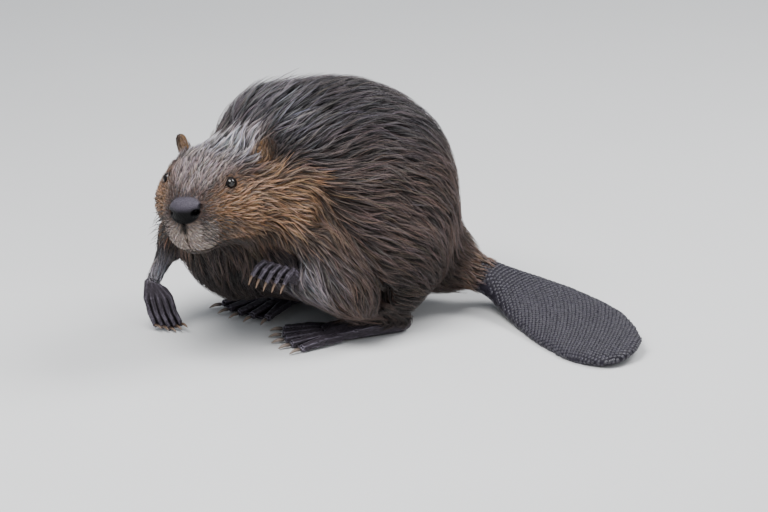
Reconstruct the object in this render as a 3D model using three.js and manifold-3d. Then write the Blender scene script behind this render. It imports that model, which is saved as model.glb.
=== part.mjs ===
// A life-size still model of an adult beaver, crouching on its hind feet and right forepaw, with its
// left forepaw raised, its head turned to the left and its tail swung round on the same side.
//
// Units are millimetres. +X is the beaver's left, +Y its rear and +Z up, with the floor at Z = 0. The
// furred body is one smooth blend of ellipsoids and tapered limbs, meshed region by region and parted
// with thin cuts. Its surface is the outside of the coat. Paws, feet, tail, ears and claws are lofts.
import * as THREE from "three";
import { mergeVertices } from "three/addons/utils/BufferGeometryUtils.js";
import Module from "manifold-3d";

const wasm = await Module();
wasm.setup();

// ---------------------------------------------------------------- driving dimensions

const GAP = 0.5; // between neighbouring pieces
const BACK_HEIGHT = 305; // floor to the top of the loin

const HEAD = { centre: [24, -160, 199], yaw: 34.9, pitch: 8.6, roll: 3.5 };
const NOSE_REACH = 88; // head centre to the tip of the nose
const CHEEK_HALF_WIDTH = 80;
const EYE = { forward: 30, side: 41, up: 24, radius: 6.5, sunk: 3.6 };
const EAR = { forward: -34, side: 51, up: 29, height: 22, halfWidth: 11, cup: 4.5, thickness: 5 };
const JAW = { corner: 14, halfWidth: 34, lip: -47 };

// Where the head ends behind the ears and under the throat, and where the neck meets the trunk.
const HEAD_CUT = { back: -54, throat: -66 };
const NECK_CUT = { point: [4, -84, 170], yaw: 10, pitch: -20 };

// Shoulder, elbow and wrist of each foreleg, and its radius at each.
const ARM = {
  left: { joints: [[62, -56, 128], [106, -14, 66], [82, -76, 87]], radii: [40, 31, 17] },
  right: { joints: [[-72, -96, 146], [-86, -152, 118], [-68, -194, 60]], radii: [40, 18, 11.5] },
};
const HIP = { side: 78, back: 40, up: 90, radii: [88, 46, 74] };

// Each forepaw's row of knuckles, the bends of its digits from there and the way its claws point.
const PAW = {
  left: {
    row: { centre: [79, -102, 107], along: [0.48, 0.83, -0.28], spacing: 9.2, radius: 4.5 },
    bends: [[4, -11, -5], [-1, -7, -12]],
    claw: [-3, -4, -13],
  },
  right: {
    row: { centre: [-58, -193, 43], along: [0.5, 0.86, 0.05], spacing: 7.4, radius: 4.1 },
    bends: [[2, 5, -21], [3, 9, -22]],
    claw: [13, 2, -1.5],
  },
};
const DIGITS = [0, 1, 2, 3, 4];

const TAIL = {
  root: [8, 118, 80],
  neck: [50, 197, 42],
  sweep: [[80, 221, 28], [142, 238, 16], [214, 239, 12], [282, 227, 10], [318, 216, 9], [336, 210, 8]],
  halfWidths: [23, 38, 58, 64, 57, 38, 12],
  halfHeights: [19, 14, 11, 9.5, 8, 7, 5],
  tilt: [0, -0.15, 1], // the up of its blade, whose far edge is lifted
};

const FOOT = { heel: [86, 58], ball: [74, -18], toe: [58, -82], toeSpread: 40, toeRadius: 7, claw: 16 };

// The size of the mesh cells in each region of the blended form.
const CELL = { head: 14, nose: 8, neck: 22, trunk: 30, limb: 19, thigh: 24, tailRoot: 20 };

const COLOURS = {
  coat: 0x4a3728,
  cheek: 0x8a5f3a,
  face: 0x6f5c4d,
  nose: 0x1d1b1c,
  eye: 0x0c0a09,
  paw: 0x37322f,
  claw: 0x9c8674,
  tail: 0x2f2c2d,
};

// ---------------------------------------------------------------- vectors and frames

const vec = (p) => (p.isVector3 ? p.clone() : new THREE.Vector3(...p));
const between = (a, b, t = 0.5) => vec(a).lerp(vec(b), t);

// Forward, left and up, where forward is -Y until it is turned by yaw to the left, dipped by pitch and
// rolled by roll about itself, in degrees.
function turned(yaw = 0, pitch = 0, roll = 0) {
  const [y, p, r] = [yaw, pitch, roll].map(THREE.MathUtils.degToRad);
  const forward = vec([Math.sin(y) * Math.cos(p), -Math.cos(y) * Math.cos(p), -Math.sin(p)]);
  const left = vec([Math.cos(y), Math.sin(y), 0]).applyAxisAngle(forward, r);
  return { forward, left, up: forward.clone().cross(left) };
}

// The frame whose forward runs along a direction, with its up as near to the hint as it can be.
function aimed(direction, hint = [0, 0, 1]) {
  const forward = vec(direction).normalize();
  const left = vec(hint).cross(forward).normalize();
  return { forward, left, up: forward.clone().cross(left) };
}

function pointIn(frame, origin, f, l, u) {
  return vec(origin)
    .addScaledVector(frame.forward, f)
    .addScaledVector(frame.left, l)
    .addScaledVector(frame.up, u);
}

const headFrame = turned(HEAD.yaw, HEAD.pitch, HEAD.roll);
const onHead = (f, l, u) => pointIn(headFrame, HEAD.centre, f, l, u);

// ---------------------------------------------------------------- implicit forms: distances at a point

// An ellipsoid with its radii along a frame's forward, left and up.
function ball(centre, [rf, rl, ru], frame = turned()) {
  const c = vec(centre);
  const d = new THREE.Vector3();
  return (p) => {
    d.subVectors(p, c);
    const [f, l, u] = [d.dot(frame.forward) / rf, d.dot(frame.left) / rl, d.dot(frame.up) / ru];
    const k = Math.hypot(f, l, u);
    return (k * (k - 1)) / Math.max(Math.hypot(f / rf, l / rl, u / ru), 1e-9);
  };
}

// A limb from a to b, with a round end of its own radius at each.
function limb(a, b, ra, rb) {
  const start = vec(a);
  const along = vec(b).sub(start);
  const d = new THREE.Vector3();
  return (p) => {
    d.subVectors(p, start);
    const t = THREE.MathUtils.clamp(d.dot(along) / along.lengthSq(), 0, 1);
    return d.addScaledVector(along, -t).length() - THREE.MathUtils.lerp(ra, rb, t);
  };
}

// Forms melted together, with soft creases about k deep between them.
function melt(k, ...forms) {
  return (p) => {
    const far = forms.map((form) => form(p));
    const nearest = Math.min(...far);
    return nearest - k * Math.log(far.reduce((sum, d) => sum + Math.exp((nearest - d) / k), 0));
  };
}

// Forms set against each other with a sharp crease.
const union = (...forms) => (p) => Math.min(...forms.map((form) => form(p)));

// ---------------------------------------------------------------- the furred body

// The trunk, and the neck up to the back of the head.
function coreForm() {
  const loin = 130;
  return melt(
    12,
    ball([0, 30, BACK_HEIGHT - loin], [112, 114, loin]),
    ball([4, 89, 147], [91, 104, 125], turned(-10)),
    ball([-16, -50, 186], [88, 92, 116]),
    ball([-8, -112, 114], [68, 60, 74]),
    ball([0, 30, 92], [120, 108, 70]),
    limb([2, -70, 170], onHead(-34, 2, -24), 84, 58),
  );
}

function headForm() {
  const part = (f, l, u, radii) => ball(onHead(f, l, u), radii, headFrame);
  const jowl = CHEEK_HALF_WIDTH - 40;
  const paired = [1, -1].flatMap((side) => [
    part(-4, side * jowl, -17, [46, 38, 40]),
    part(60, side * 13, -26, [18, 17, 20]),
    part(20, side * 20, 20, [28, 20, 18]),
  ]);
  return melt(
    8,
    part(-20, 0, 3, [52, 62, 43]),
    part(26, 0, -6, [44, 42, 36]),
    part(48, 0, -12, [31, 29, 28]),
    limb(onHead(18, 0, 20), onHead(NOSE_REACH - 21, 0, 5), 18, 12),
    part(44, 0, -44, [26, 20, 14]),
    ...paired,
  );
}

function armForm({ joints: [shoulder, elbow, wrist], radii: [top, middle, end] }) {
  return melt(6, limb(shoulder, elbow, top, middle), limb(elbow, wrist, middle, end));
}

function legForm(side) {
  const heel = [side * FOOT.heel[0], FOOT.heel[1], 26];
  const thigh = [side * HIP.side, HIP.back, HIP.up];
  return melt(8, ball(thigh, HIP.radii), limb(between(thigh, heel), heel, 40, 19));
}

const torsoForm = melt(
  10,
  coreForm(),
  armForm(ARM.left),
  armForm(ARM.right),
  legForm(1),
  legForm(-1),
  limb(TAIL.root, TAIL.neck, 66, 23),
);
const bodyForm = union(torsoForm, melt(8, coreForm(), headForm()));

// The point where a ray from inside the body comes out of its coat.
function coatPoint(from, towards) {
  const point = vec(from);
  const direction = vec(towards).sub(point).normalize();
  for (let turn = 0; turn < 60; turn++) {
    point.addScaledVector(direction, -bodyForm(point) * 0.7);
  }
  return point;
}

// ---------------------------------------------------------------- meshing a form

const CORNERS = [0, 1, 2, 3, 4, 5, 6, 7].map((c) => [c & 1, (c >> 1) & 1, (c >> 2) & 1]);
const EDGES = CORNERS.flatMap((_, a) => [1, 2, 4].filter((bit) => !(a & bit)).map((bit) => [a, a | bit]));
const AXES = [[1, 0, 0], [0, 1, 0], [0, 0, 1]];

// Moves a point onto the form's surface by Newton's method, within reach of where it began at each turn.
function settled(form, point, reach) {
  const aside = new THREE.Vector3();
  const slope = new THREE.Vector3();
  const step = 0.4;
  for (let turn = 0; turn < 4; turn++) {
    const here = form(point);
    for (const axis of ["x", "y", "z"]) {
      aside.copy(point)[axis] += step;
      slope[axis] = (form(aside) - here) / step;
    }
    const move = THREE.MathUtils.clamp(here / Math.max(slope.lengthSq(), 0.3), -reach, reach);
    point.addScaledVector(slope, -move);
  }
  return point;
}

// Surface nets: one vertex in each cell that the surface crosses, and one quad for each grid edge it
// crosses. The outermost points of the box count as outside, which closes the mesh where the form runs
// out of the box.
function meshed(form, low, high, cell) {
  const counts = low.map((v, axis) => Math.ceil((high[axis] - v) / cell) + 1);
  const at = (i, j, k) => i + counts[0] * (j + counts[1] * k);
  const onWall = (...cells) => cells.some((n, axis) => n <= 0 || n >= counts[axis] - 1);
  const values = new Float64Array(counts[0] * counts[1] * counts[2]);
  const eachPoint = (visit) => values.forEach((_, n) => {
    const layer = Math.floor(n / counts[0]);
    visit(n % counts[0], layer % counts[1], Math.floor(layer / counts[1]));
  });
  eachPoint((i, j, k) => {
    const point = vec([i, j, k]).multiplyScalar(cell).add(vec(low));
    values[at(i, j, k)] = onWall(i, j, k) ? cell : form(point);
  });

  const vertexOf = new Map();
  const positions = [];
  eachPoint((i, j, k) => {
    if (i === counts[0] - 1 || j === counts[1] - 1 || k === counts[2] - 1) return;
    const value = CORNERS.map(([a, b, c]) => values[at(i + a, j + b, k + c)]);
    const crossed = EDGES.filter(([a, b]) => value[a] < 0 !== value[b] < 0);
    if (!crossed.length) return;
    const centre = new THREE.Vector3();
    for (const [a, b] of crossed) {
      centre.add(between(CORNERS[a], CORNERS[b], value[a] / (value[a] - value[b])));
    }
    centre.divideScalar(crossed.length).add(vec([i, j, k])).multiplyScalar(cell).add(vec(low));
    const inBox = !onWall(i, j, k) && !onWall(i + 1, j + 1, k + 1);
    vertexOf.set(at(i, j, k), positions.length / 3);
    positions.push(...(inBox ? settled(form, centre, cell / 3) : centre).toArray());
  });

  const index = [];
  eachPoint((i, j, k) => {
    AXES.forEach(([di, dj, dk], axis) => {
      const inside = values[at(i, j, k)] < 0;
      if (inside === values[at(i + di, j + dj, k + dk)] < 0) return;
      const u = AXES[(axis + 1) % 3];
      const w = AXES[(axis + 2) % 3];
      const ring = [[1, 1], [0, 1], [0, 0], [1, 0]].map(([a, b]) =>
        vertexOf.get(at(i - a * u[0] - b * w[0], j - a * u[1] - b * w[1], k - a * u[2] - b * w[2])),
      );
      const [a, b, c, d] = inside ? ring : ring.reverse();
      const corner = (n) => new THREE.Vector3().fromArray(positions, 3 * n);
      const short = corner(a).distanceTo(corner(c)) < corner(b).distanceTo(corner(d));
      index.push(...(short ? [a, b, c, a, c, d] : [b, c, d, b, d, a]));
    });
  });
  return geometryFrom(positions, index);
}

function geometryFrom(positions, index) {
  const geometry = new THREE.BufferGeometry();
  geometry.setAttribute("position", new THREE.Float32BufferAttribute(positions, 3));
  geometry.setIndex(index);
  return geometry;
}

// ---------------------------------------------------------------- solids

function solid(geometry) {
  const merged = mergeVertices(geometryFrom(geometry.getAttribute("position").array, geometry.index), 1e-3);
  return new wasm.Manifold(
    new wasm.Mesh({
      numProp: 3,
      vertProperties: merged.attributes.position.array,
      triVerts: new Uint32Array(merged.index.array),
    }),
  );
}

const larger = (one, other) => (other.volume() > one.volume() ? other : one);
const largest = (made) => made.decompose().reduce(larger);
const joined = (solids) => solids.reduce((whole, next) => whole.add(next));
const without = (whole, ...cutters) => cutters.reduce((rest, cutter) => rest.subtract(cutter), whole);

// A block between limits along a frame's forward, left and up, grown on every side.
function block(frame, origin, limits, grow = 0) {
  const sizes = limits.map(([low, high]) => high - low + 2 * grow);
  const middle = limits.map(([low, high]) => (low + high) / 2);
  const geometry = new THREE.BoxGeometry(...sizes);
  const basis = new THREE.Matrix4().makeBasis(frame.forward, frame.left, frame.up);
  geometry.translate(...middle).applyMatrix4(basis).translate(...vec(origin).toArray());
  return solid(geometry);
}

// Everything on the far side of a plane through a point, seen along a direction.
function beyond(point, direction, grow = 0) {
  const far = 600;
  return block(aimed(direction), point, [[0, far], [-far, far], [-far, far]], grow);
}

// A ball-shaped cutter, with its radii along a frame's axes.
function boulder(frame, centre, radii, grow = 0) {
  const geometry = new THREE.SphereGeometry(1, 10, 7);
  const basis = new THREE.Matrix4().makeBasis(frame.forward, frame.left, frame.up);
  geometry.scale(...radii.map((r) => r + grow)).applyMatrix4(basis).translate(...vec(centre).toArray());
  return solid(geometry);
}

// A closed skin over rings of points, all the same count, with a flat lid on the first and the last.
function loft(rings) {
  const sides = rings[0].length;
  const lids = [rings[0], rings.at(-1)].map((ring) =>
    ring.reduce((sum, p) => sum.add(p), new THREE.Vector3()).divideScalar(sides),
  );
  const positions = [...rings.flat(), ...lids].flatMap((p) => p.toArray());
  const first = rings.length * sides;
  const index = [];
  for (let s = 0; s < sides; s++) {
    const t = (s + 1) % sides;
    for (let r = 0; r < rings.length - 1; r++) {
      const [a, b] = [r * sides, (r + 1) * sides];
      index.push(a + s, a + t, b + t, a + s, b + t, b + s);
    }
    const last = first - sides;
    index.push(first, t, s, first + 1, last + s, last + t);
  }
  const made = solid(geometryFrom(positions, index));
  return made.volume() > 0 ? made : solid(geometryFrom(positions, index.reverse()));
}

// A loft with an elliptical section along a smooth line through points. Its half widths and half heights
// are given at each point, and squareness makes its section fuller towards the corners.
function strand(points, halfWidths, halfHeights, options = {}) {
  const { sides = 6, rows = points.length, up, grow = 0, squareness = 1 } = options;
  const line = new THREE.CatmullRomCurve3(points.map(vec));
  const sizeAt = (sizes, t) => {
    const place = t * (sizes.length - 1);
    const below = Math.min(Math.floor(place), sizes.length - 2);
    return THREE.MathUtils.lerp(sizes[below], sizes[below + 1], place - below) + grow;
  };
  const full = (v) => Math.sign(v) * Math.abs(v) ** squareness;
  const rings = Array.from({ length: rows }, (_, row) => {
    const t = row / (rows - 1);
    const frame = aimed(line.getTangent(t), up);
    const lengthen = row === 0 ? -grow : row === rows - 1 ? grow : 0;
    return Array.from({ length: sides }, (_, side) => {
      const turn = ((side + 0.5) / sides) * 2 * Math.PI;
      const left = full(Math.cos(turn)) * sizeAt(halfWidths, t);
      const rise = full(Math.sin(turn)) * sizeAt(halfHeights, t);
      return pointIn(frame, line.getPoint(t), lengthen, left, rise);
    });
  });
  return loft(rings);
}

const FLOOR = block(turned(), [0, 0, 0], [[-900, 900], [-900, 900], [-900, 0]]);

// ---------------------------------------------------------------- the head's own pieces

function nosePad(grow = 0) {
  const form = melt(
    1.5,
    ball(onHead(NOSE_REACH - 12, 0, 10), [12, 18, 11], headFrame),
    ball(onHead(NOSE_REACH - 12, 0, 0), [11, 15, 12], headFrame),
  );
  const centre = onHead(NOSE_REACH - 12, 0, 3).toArray();
  const reach = 27;
  const low = centre.map((v) => v - reach);
  const high = centre.map((v) => v + reach);
  return solid(meshed((p) => form(p) - grow, low, high, CELL.nose));
}

function eyeCentre(side) {
  const from = onHead(EYE.forward - 10, 0, EYE.up - 6);
  const surface = coatPoint(from, onHead(EYE.forward, side * EYE.side, EYE.up));
  const inwards = from.sub(surface).normalize();
  return surface.addScaledVector(inwards, EYE.sunk);
}

const eye = (side, grow = 0) => boulder(headFrame, eyeCentre(side), Array(3).fill(EYE.radius), grow);

// A rounded ear, cupped towards the front and set into the back corner of the head.
function ear(side, grow = 0) {
  const root = coatPoint(onHead(EAR.forward, 0, 0), onHead(EAR.forward, side * EAR.side, EAR.up));
  const { forward, left, up } = headFrame;
  const lean = left.clone().multiplyScalar(side * 0.25).addScaledVector(forward, -0.25);
  const rise = up.clone().multiplyScalar(0.8).add(lean);
  const frame = aimed(rise, forward.clone().addScaledVector(left, side * 0.3));
  const rings = [-0.35, 0.1, 0.45, 0.75, 0.93, 1].map((t, row) => {
    const width = EAR.halfWidth * [0.66, 0.9, 1, 0.92, 0.68, 0.34][row] + grow;
    const cup = EAR.cup * (width / EAR.halfWidth) * (1 - 0.6 * Math.max(t, 0));
    const thickness = EAR.thickness * (1 - 0.45 * Math.max(t, 0));
    const arc = (s, front) => {
      const depth = -cup * (1 - s * s) + (front ? thickness * (1 - 0.6 * s * s) + grow : -grow);
      return pointIn(frame, root, t * EAR.height + (row === 0 ? -grow : grow), s * width, depth);
    };
    const spread = [-1, -0.5, 0, 0.5, 1];
    return [...spread.map((s) => arc(s, false)), ...spread.reverse().map((s) => arc(s, true))];
  });
  return loft(rings);
}

// ---------------------------------------------------------------- paws, feet and tail

// A claw from its root along a direction, curving down to a blunt point.
function claw(root, direction, radius, length, grow = 0) {
  const way = vec(direction).normalize();
  const bow = vec([0, 0, 1]).addScaledVector(way, -way.z).multiplyScalar(length * 0.14);
  const middle = vec(root).addScaledVector(way, length * 0.5).add(bow);
  const tip = vec(root).addScaledVector(way, length);
  const sizes = [radius, radius * 0.8, 0.6];
  return strand([root, middle, tip], sizes, sizes, { sides: 4, grow });
}

// The line of one ray of a forepaw, from the wrist through its knuckle to the end of the digit.
function pawRay(side, number) {
  const { row, bends } = PAW[side];
  const wrist = vec(ARM[side].joints[2]);
  const offset = vec(row.along).normalize().multiplyScalar((number - 2) * row.spacing);
  const knuckle = vec(row.centre).add(offset);
  const shorter = 1 - 0.06 * Math.abs(number - 2);
  const spread = offset.clone().multiplyScalar(0.04);
  const joint = knuckle.clone().addScaledVector(vec(bends[0]), shorter).add(spread);
  const tip = joint.clone().addScaledVector(vec(bends[1]), shorter).add(spread);
  const root = wrist.addScaledVector(offset, 0.3);
  const behind = root.clone().sub(knuckle).setLength(8).add(root);
  return [behind, root, knuckle, joint, tip];
}

function forepaw(side) {
  const sizes = [1.75, 1.75, 1, 0.82, 0.7].map((share) => share * PAW[side].row.radius);
  const rays = DIGITS.map((number) => strand(pawRay(side, number), sizes, sizes));
  const claws = DIGITS.map((number) => foreClaw(side, number, GAP));
  return without(joined(rays).intersect(pastWrist(side)), FLOOR, ...claws);
}

// The hollow that the raised paw lies in where it is held against the chest.
function pawHollow() {
  const { row } = PAW.left;
  const centre = between(ARM.left.joints[2], row.centre, 0.75);
  return boulder(aimed(row.along), centre, [34, 27, 24]);
}

function foreClaw(side, number, grow = 0) {
  const [joint, tip] = pawRay(side, number).slice(-2);
  const way = vec(PAW[side].claw);
  const root = between(tip, joint, 0.18);
  root.z = Math.max(root.z, 3.3);
  return claw(root, way, 2.2, way.length(), grow);
}

// Where a toe of a hind foot starts, at the ball, and where it ends, both at floor level.
function toeLine(side, number) {
  const way = vec([side * (FOOT.toe[0] - FOOT.ball[0]), FOOT.toe[1] - FOOT.ball[1], 0]).normalize();
  const across = vec([0, 0, 1]).cross(way);
  const place = (number - 2) / 2;
  const start = vec([side * FOOT.ball[0], FOOT.ball[1], 0]).addScaledVector(across, place * 17);
  const end = vec([side * FOOT.toe[0], FOOT.toe[1], 0])
    .addScaledVector(across, place * FOOT.toeSpread)
    .addScaledVector(way, -9 * place * place);
  return [start, end];
}

// The sole of a hind foot, from its heel to the ball.
function sole(side, grow = 0) {
  const [heelX, heelY] = [side * FOOT.heel[0], FOOT.heel[1]];
  const toes = between(...toeLine(side, 2), 0.25).setZ(7);
  const line = [[heelX, heelY + 16, 9], [heelX, heelY, 11], [side * FOOT.ball[0], FOOT.ball[1], 10], toes];
  return strand(line, [9, 17, 25, 24], [8, 14, 12, 8], { sides: 8, rows: 5, grow });
}

// A webbed hind foot: a long sole, five toes and the web between them, all flat on the floor.
function hindFoot(side) {
  const r = FOOT.toeRadius;
  const toes = DIGITS.map((number) => {
    const [start, end] = toeLine(side, number);
    const knuckle = start.clone().lerp(end, 0.45);
    const sizes = [r, r, 0.75 * r];
    return strand([start.setZ(7), knuckle.setZ(8), end.setZ(5)], sizes, sizes, { sides: 5 });
  });
  const middle = toeLine(side, 2);
  const webLine = [0, 0.5, 0.86].map((t) => between(...middle, t).setZ(4 - t));
  const web = strand(webLine, [24, 31, 40], [4.5, 3.5, 2.5]);
  return without(joined([sole(side), ...toes, web]), FLOOR);
}

function hindClaw(side, number) {
  const [start, end] = toeLine(side, number);
  const way = end.clone().sub(start).normalize();
  const root = end.addScaledVector(way, GAP + 0.3).setZ(4.6);
  return claw(root, way.multiplyScalar(FOOT.claw).setZ(-2.6), 3.1, FOOT.claw);
}

function tailBlade() {
  const start = vec(TAIL.neck);
  const way = vec(TAIL.sweep[0]).sub(start).normalize();
  const root = start.addScaledVector(way, GAP);
  const options = { sides: 10, rows: 11, squareness: 0.8, up: TAIL.tilt };
  return without(strand([root, ...TAIL.sweep], TAIL.halfWidths, TAIL.halfHeights, options), FLOOR);
}

// ---------------------------------------------------------------- parting the furred body

const bodyIn = (low, high, cell) => solid(meshed(bodyForm, low, high, cell));

const throatUp = (back, grow) =>
  block(headFrame, HEAD.centre, [[back, 160], [-160, 160], [HEAD_CUT.throat, 160]], grow);
const headBlock = (grow) => throatUp(HEAD_CUT.back, grow);
function neckBlock(grow) {
  const way = turned(NECK_CUT.yaw, NECK_CUT.pitch).forward;
  return throatUp(-220, grow).intersect(beyond(NECK_CUT.point, way, grow));
}
function jawBlock(grow) {
  const limits = [[JAW.corner, 140], [-JAW.halfWidth, JAW.halfWidth], [-110, JAW.lip]];
  return block(headFrame, HEAD.centre, limits, grow);
}

// A boulder round a limb that starts behind one joint and ends just past the next, set outwards from
// the body.
function sleeve(from, to, across, behind, past, out, grow) {
  const start = vec(from);
  const way = vec(to).sub(start);
  const back = start.clone().addScaledVector(way, -behind / way.length());
  const centre = between(back, to).add(vec([out, 0, 0]));
  const radii = [(way.length() + behind) / 2 + past, across, across];
  return boulder(aimed(way, [0.3, 0.2, 1]), centre, radii, grow);
}

function upperArmSleeve(side, grow) {
  const { joints, radii } = ARM[side];
  const out = Math.sign(joints[0][0]) * 16;
  return sleeve(joints[0], joints[1], radii[0] + 12, 30, 26, out, grow);
}

function forearmSleeve(side, grow) {
  const { joints, radii } = ARM[side];
  return sleeve(joints[1], joints[2], radii[1] + 6, 34, 16, 0, grow);
}

// Everything on the forearm's side of the elbow.
function pastElbow(side, grow) {
  const [shoulder, elbow, wrist] = ARM[side].joints.map(vec);
  const back = shoulder.sub(elbow).normalize();
  return beyond(elbow, wrist.sub(elbow).normalize().sub(back), grow);
}

function pastWrist(side, grow) {
  const [, elbow, wrist] = ARM[side].joints.map(vec);
  return beyond(wrist, wrist.clone().sub(elbow), grow);
}

function thighBoulder(sign, grow) {
  const [forward, left, up] = HIP.radii;
  const centre = [sign * (HIP.side + left), HIP.back, HIP.up - 18];
  return boulder(turned(), centre, [forward, 1.4 * left, up], grow);
}

const tailWay = vec(TAIL.neck).sub(vec(TAIL.root));
const tailBlock = (grow) => block(aimed(tailWay), TAIL.root, [[54, 200], [-90, 90], [-100, 70]], grow);
const pastTailRoot = beyond(TAIL.neck, vec(TAIL.sweep[0]).sub(vec(TAIL.neck)));

// ---------------------------------------------------------------- the pieces

const SIDES = [["left", 1], ["right", -1]];

function headPieces() {
  const whole = bodyIn([-100, -285, 90], [150, -50, 310], CELL.head).intersect(headBlock());
  const sockets = SIDES.flatMap(([, sign]) => [eye(sign, GAP), ear(sign, 2 * GAP)]);
  return [
    ["head", without(whole, jawBlock(GAP), nosePad(2 * GAP), ...sockets), COLOURS.face],
    ["lower_jaw", whole.intersect(jawBlock()), COLOURS.cheek],
    ["nose_pad", nosePad(), COLOURS.nose],
    ...SIDES.flatMap(([side, sign]) => [
      [`${side}_eye`, eye(sign), COLOURS.eye],
      [`${side}_ear`, ear(sign), COLOURS.coat],
    ]),
  ];
}

function trunkPieces() {
  const arms = SIDES.flatMap(([side]) => [upperArmSleeve(side, GAP), forearmSleeve(side, GAP)]);
  const legs = SIDES.flatMap(([, sign]) => [thighBoulder(sign, GAP), sole(sign, GAP)]);
  const neck = bodyIn([-120, -260, 50], [140, 20, 320], CELL.neck).intersect(neckBlock());
  const trunk = bodyIn([-160, -210, -10], [160, 260, 330], CELL.trunk);
  const tailRoot = bodyIn([-80, 100, -10], [140, 260, 180], CELL.tailRoot).intersect(tailBlock());
  const cuts = [headBlock(GAP), neckBlock(GAP), tailBlock(GAP), pawHollow(), ...arms, ...legs];
  return [
    ["neck", without(neck, headBlock(GAP), ...arms), COLOURS.cheek],
    ["trunk", without(trunk, ...cuts), COLOURS.coat],
    ["tail_root", without(tailRoot, pastTailRoot), COLOURS.cheek],
    ["tail_blade", tailBlade(), COLOURS.tail],
  ];
}

function foreleg([side, sign]) {
  const [near, far] = sign > 0 ? [0, 160] : [-150, 0];
  const region = bodyIn([near, -250, 0], [far, 60, 220], CELL.limb);
  const upper = region.intersect(upperArmSleeve(side));
  const lower = region.intersect(forearmSleeve(side)).intersect(pastElbow(side, -GAP));
  const elbow = forearmSleeve(side, GAP).intersect(pastElbow(side));
  return [
    [`${side}_upper_arm`, without(upper, elbow, headBlock(GAP), pawHollow()), COLOURS.coat],
    [`${side}_forearm`, without(lower, pastWrist(side, GAP), headBlock(GAP)), COLOURS.coat],
    [`${side}_forepaw`, forepaw(side), COLOURS.paw],
    ...DIGITS.map((number) => [`${side}_fore_claw_${number + 1}`, foreClaw(side, number), COLOURS.claw]),
  ];
}

function hindLeg([side, sign]) {
  const [near, far] = sign > 0 ? [20, 160] : [-160, -20];
  const thigh = bodyIn([near, -100, -10], [far, 180, 200], CELL.thigh).intersect(thighBoulder(sign));
  const arm = [upperArmSleeve(side, GAP), forearmSleeve(side, GAP)];
  return [
    [`${side}_thigh`, without(thigh, sole(sign, GAP), ...arm), COLOURS.coat],
    [`${side}_hind_foot`, hindFoot(sign), COLOURS.paw],
    ...DIGITS.map((number) => [`${side}_hind_claw_${number + 1}`, hindClaw(sign, number), COLOURS.claw]),
  ];
}

function meshOf([name, made, colour]) {
  const { numProp, numVert, vertProperties, triVerts } = largest(made).getMesh();
  const vertices = Array.from({ length: numVert }, (_, v) => v * numProp);
  const positions = vertices.flatMap((start) => [...vertProperties.slice(start, start + 3)]);
  const geometry = geometryFrom(positions, [...triVerts]);
  geometry.computeVertexNormals();
  const mesh = new THREE.Mesh(geometry, new THREE.MeshStandardMaterial({ color: colour, roughness: 0.8 }));
  mesh.name = name;
  return mesh;
}

const beaver = new THREE.Group();
beaver.name = "beaver";
const pieces = [...headPieces(), ...trunkPieces(), ...SIDES.flatMap(foreleg), ...SIDES.flatMap(hindLeg)];
pieces.forEach((piece) => beaver.add(meshOf(piece)));

// The origin goes to the middle of the bounding box, on the floor.
const centre = new THREE.Box3().setFromObject(beaver).getCenter(new THREE.Vector3());
beaver.position.set(-centre.x, -centre.y, 0);

export default beaver;
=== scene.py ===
import math
from collections import namedtuple

import bmesh
import bpy
import numpy as np
from bpy.props import FloatProperty, FloatVectorProperty, IntProperty, PointerProperty
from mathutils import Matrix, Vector
from mathutils.bvhtree import BVHTree
from mathutils.kdtree import KDTree


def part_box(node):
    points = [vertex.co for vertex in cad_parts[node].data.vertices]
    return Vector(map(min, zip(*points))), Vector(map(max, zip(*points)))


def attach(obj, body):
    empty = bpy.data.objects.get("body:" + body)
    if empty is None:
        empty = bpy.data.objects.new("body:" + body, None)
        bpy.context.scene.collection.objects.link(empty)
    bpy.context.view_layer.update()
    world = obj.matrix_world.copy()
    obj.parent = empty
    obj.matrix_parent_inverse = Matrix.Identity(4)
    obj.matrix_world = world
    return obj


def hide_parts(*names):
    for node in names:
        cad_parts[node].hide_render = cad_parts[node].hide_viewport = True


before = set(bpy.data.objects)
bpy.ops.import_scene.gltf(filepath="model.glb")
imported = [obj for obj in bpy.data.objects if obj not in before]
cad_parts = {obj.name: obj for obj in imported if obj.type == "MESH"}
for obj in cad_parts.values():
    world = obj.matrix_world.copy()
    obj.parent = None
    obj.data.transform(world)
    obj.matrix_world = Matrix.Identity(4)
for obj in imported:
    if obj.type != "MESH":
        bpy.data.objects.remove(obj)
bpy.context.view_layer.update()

bl_info = {
    "name": "Beaver Model",
    "version": (1, 0, 0),
    "blender": (4, 5, 0),
    "location": "View3D > Sidebar > Beaver",
    "description": "Builds a life-size beaver: skin, coat, eyes, claws, whiskers and a plain stage",
    "category": "Object",
}

MM = 0.001
ORIGIN = np.array([106.078, 31.976, 0.0])  # the shared frame's origin in the beaver's frame
HEAD_CENTRE = np.array([24.0, -160.0, 199.0])
HEAD_TURN = (34.9, 8.6, 3.5)  # degrees to the left, down and over
EYE_AT = {"left": (30.2, 41.5, 24.1), "right": (30.2, -41.5, 24.1)}
EYE_RADIUS = 6.4
NOSE_AT = np.array([78.0, 2.0, 7.0])
NOSE_HALF = (18.5, 14.5)  # half its width and half its height
NOSTRIL = np.array([77.5, 13.5, 4.5])
LIP_PLANE = -47.0  # the height of the mouth line
TAIL_SPINE = np.array([(50, 197), (80, 221), (142, 238), (214, 239), (282, 227), (336, 210)], float)
MAKE = {}  # the skin's mesh, points and fields, for the pieces that grow out of it


def srgb(red, green, blue):
    """A colour given in the usual 0 to 255 steps, as linear light."""
    c = np.array([red, green, blue]) / 255.0
    return np.where(c <= 0.04045, c / 12.92, ((c + 0.055) / 1.055) ** 2.4)


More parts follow.
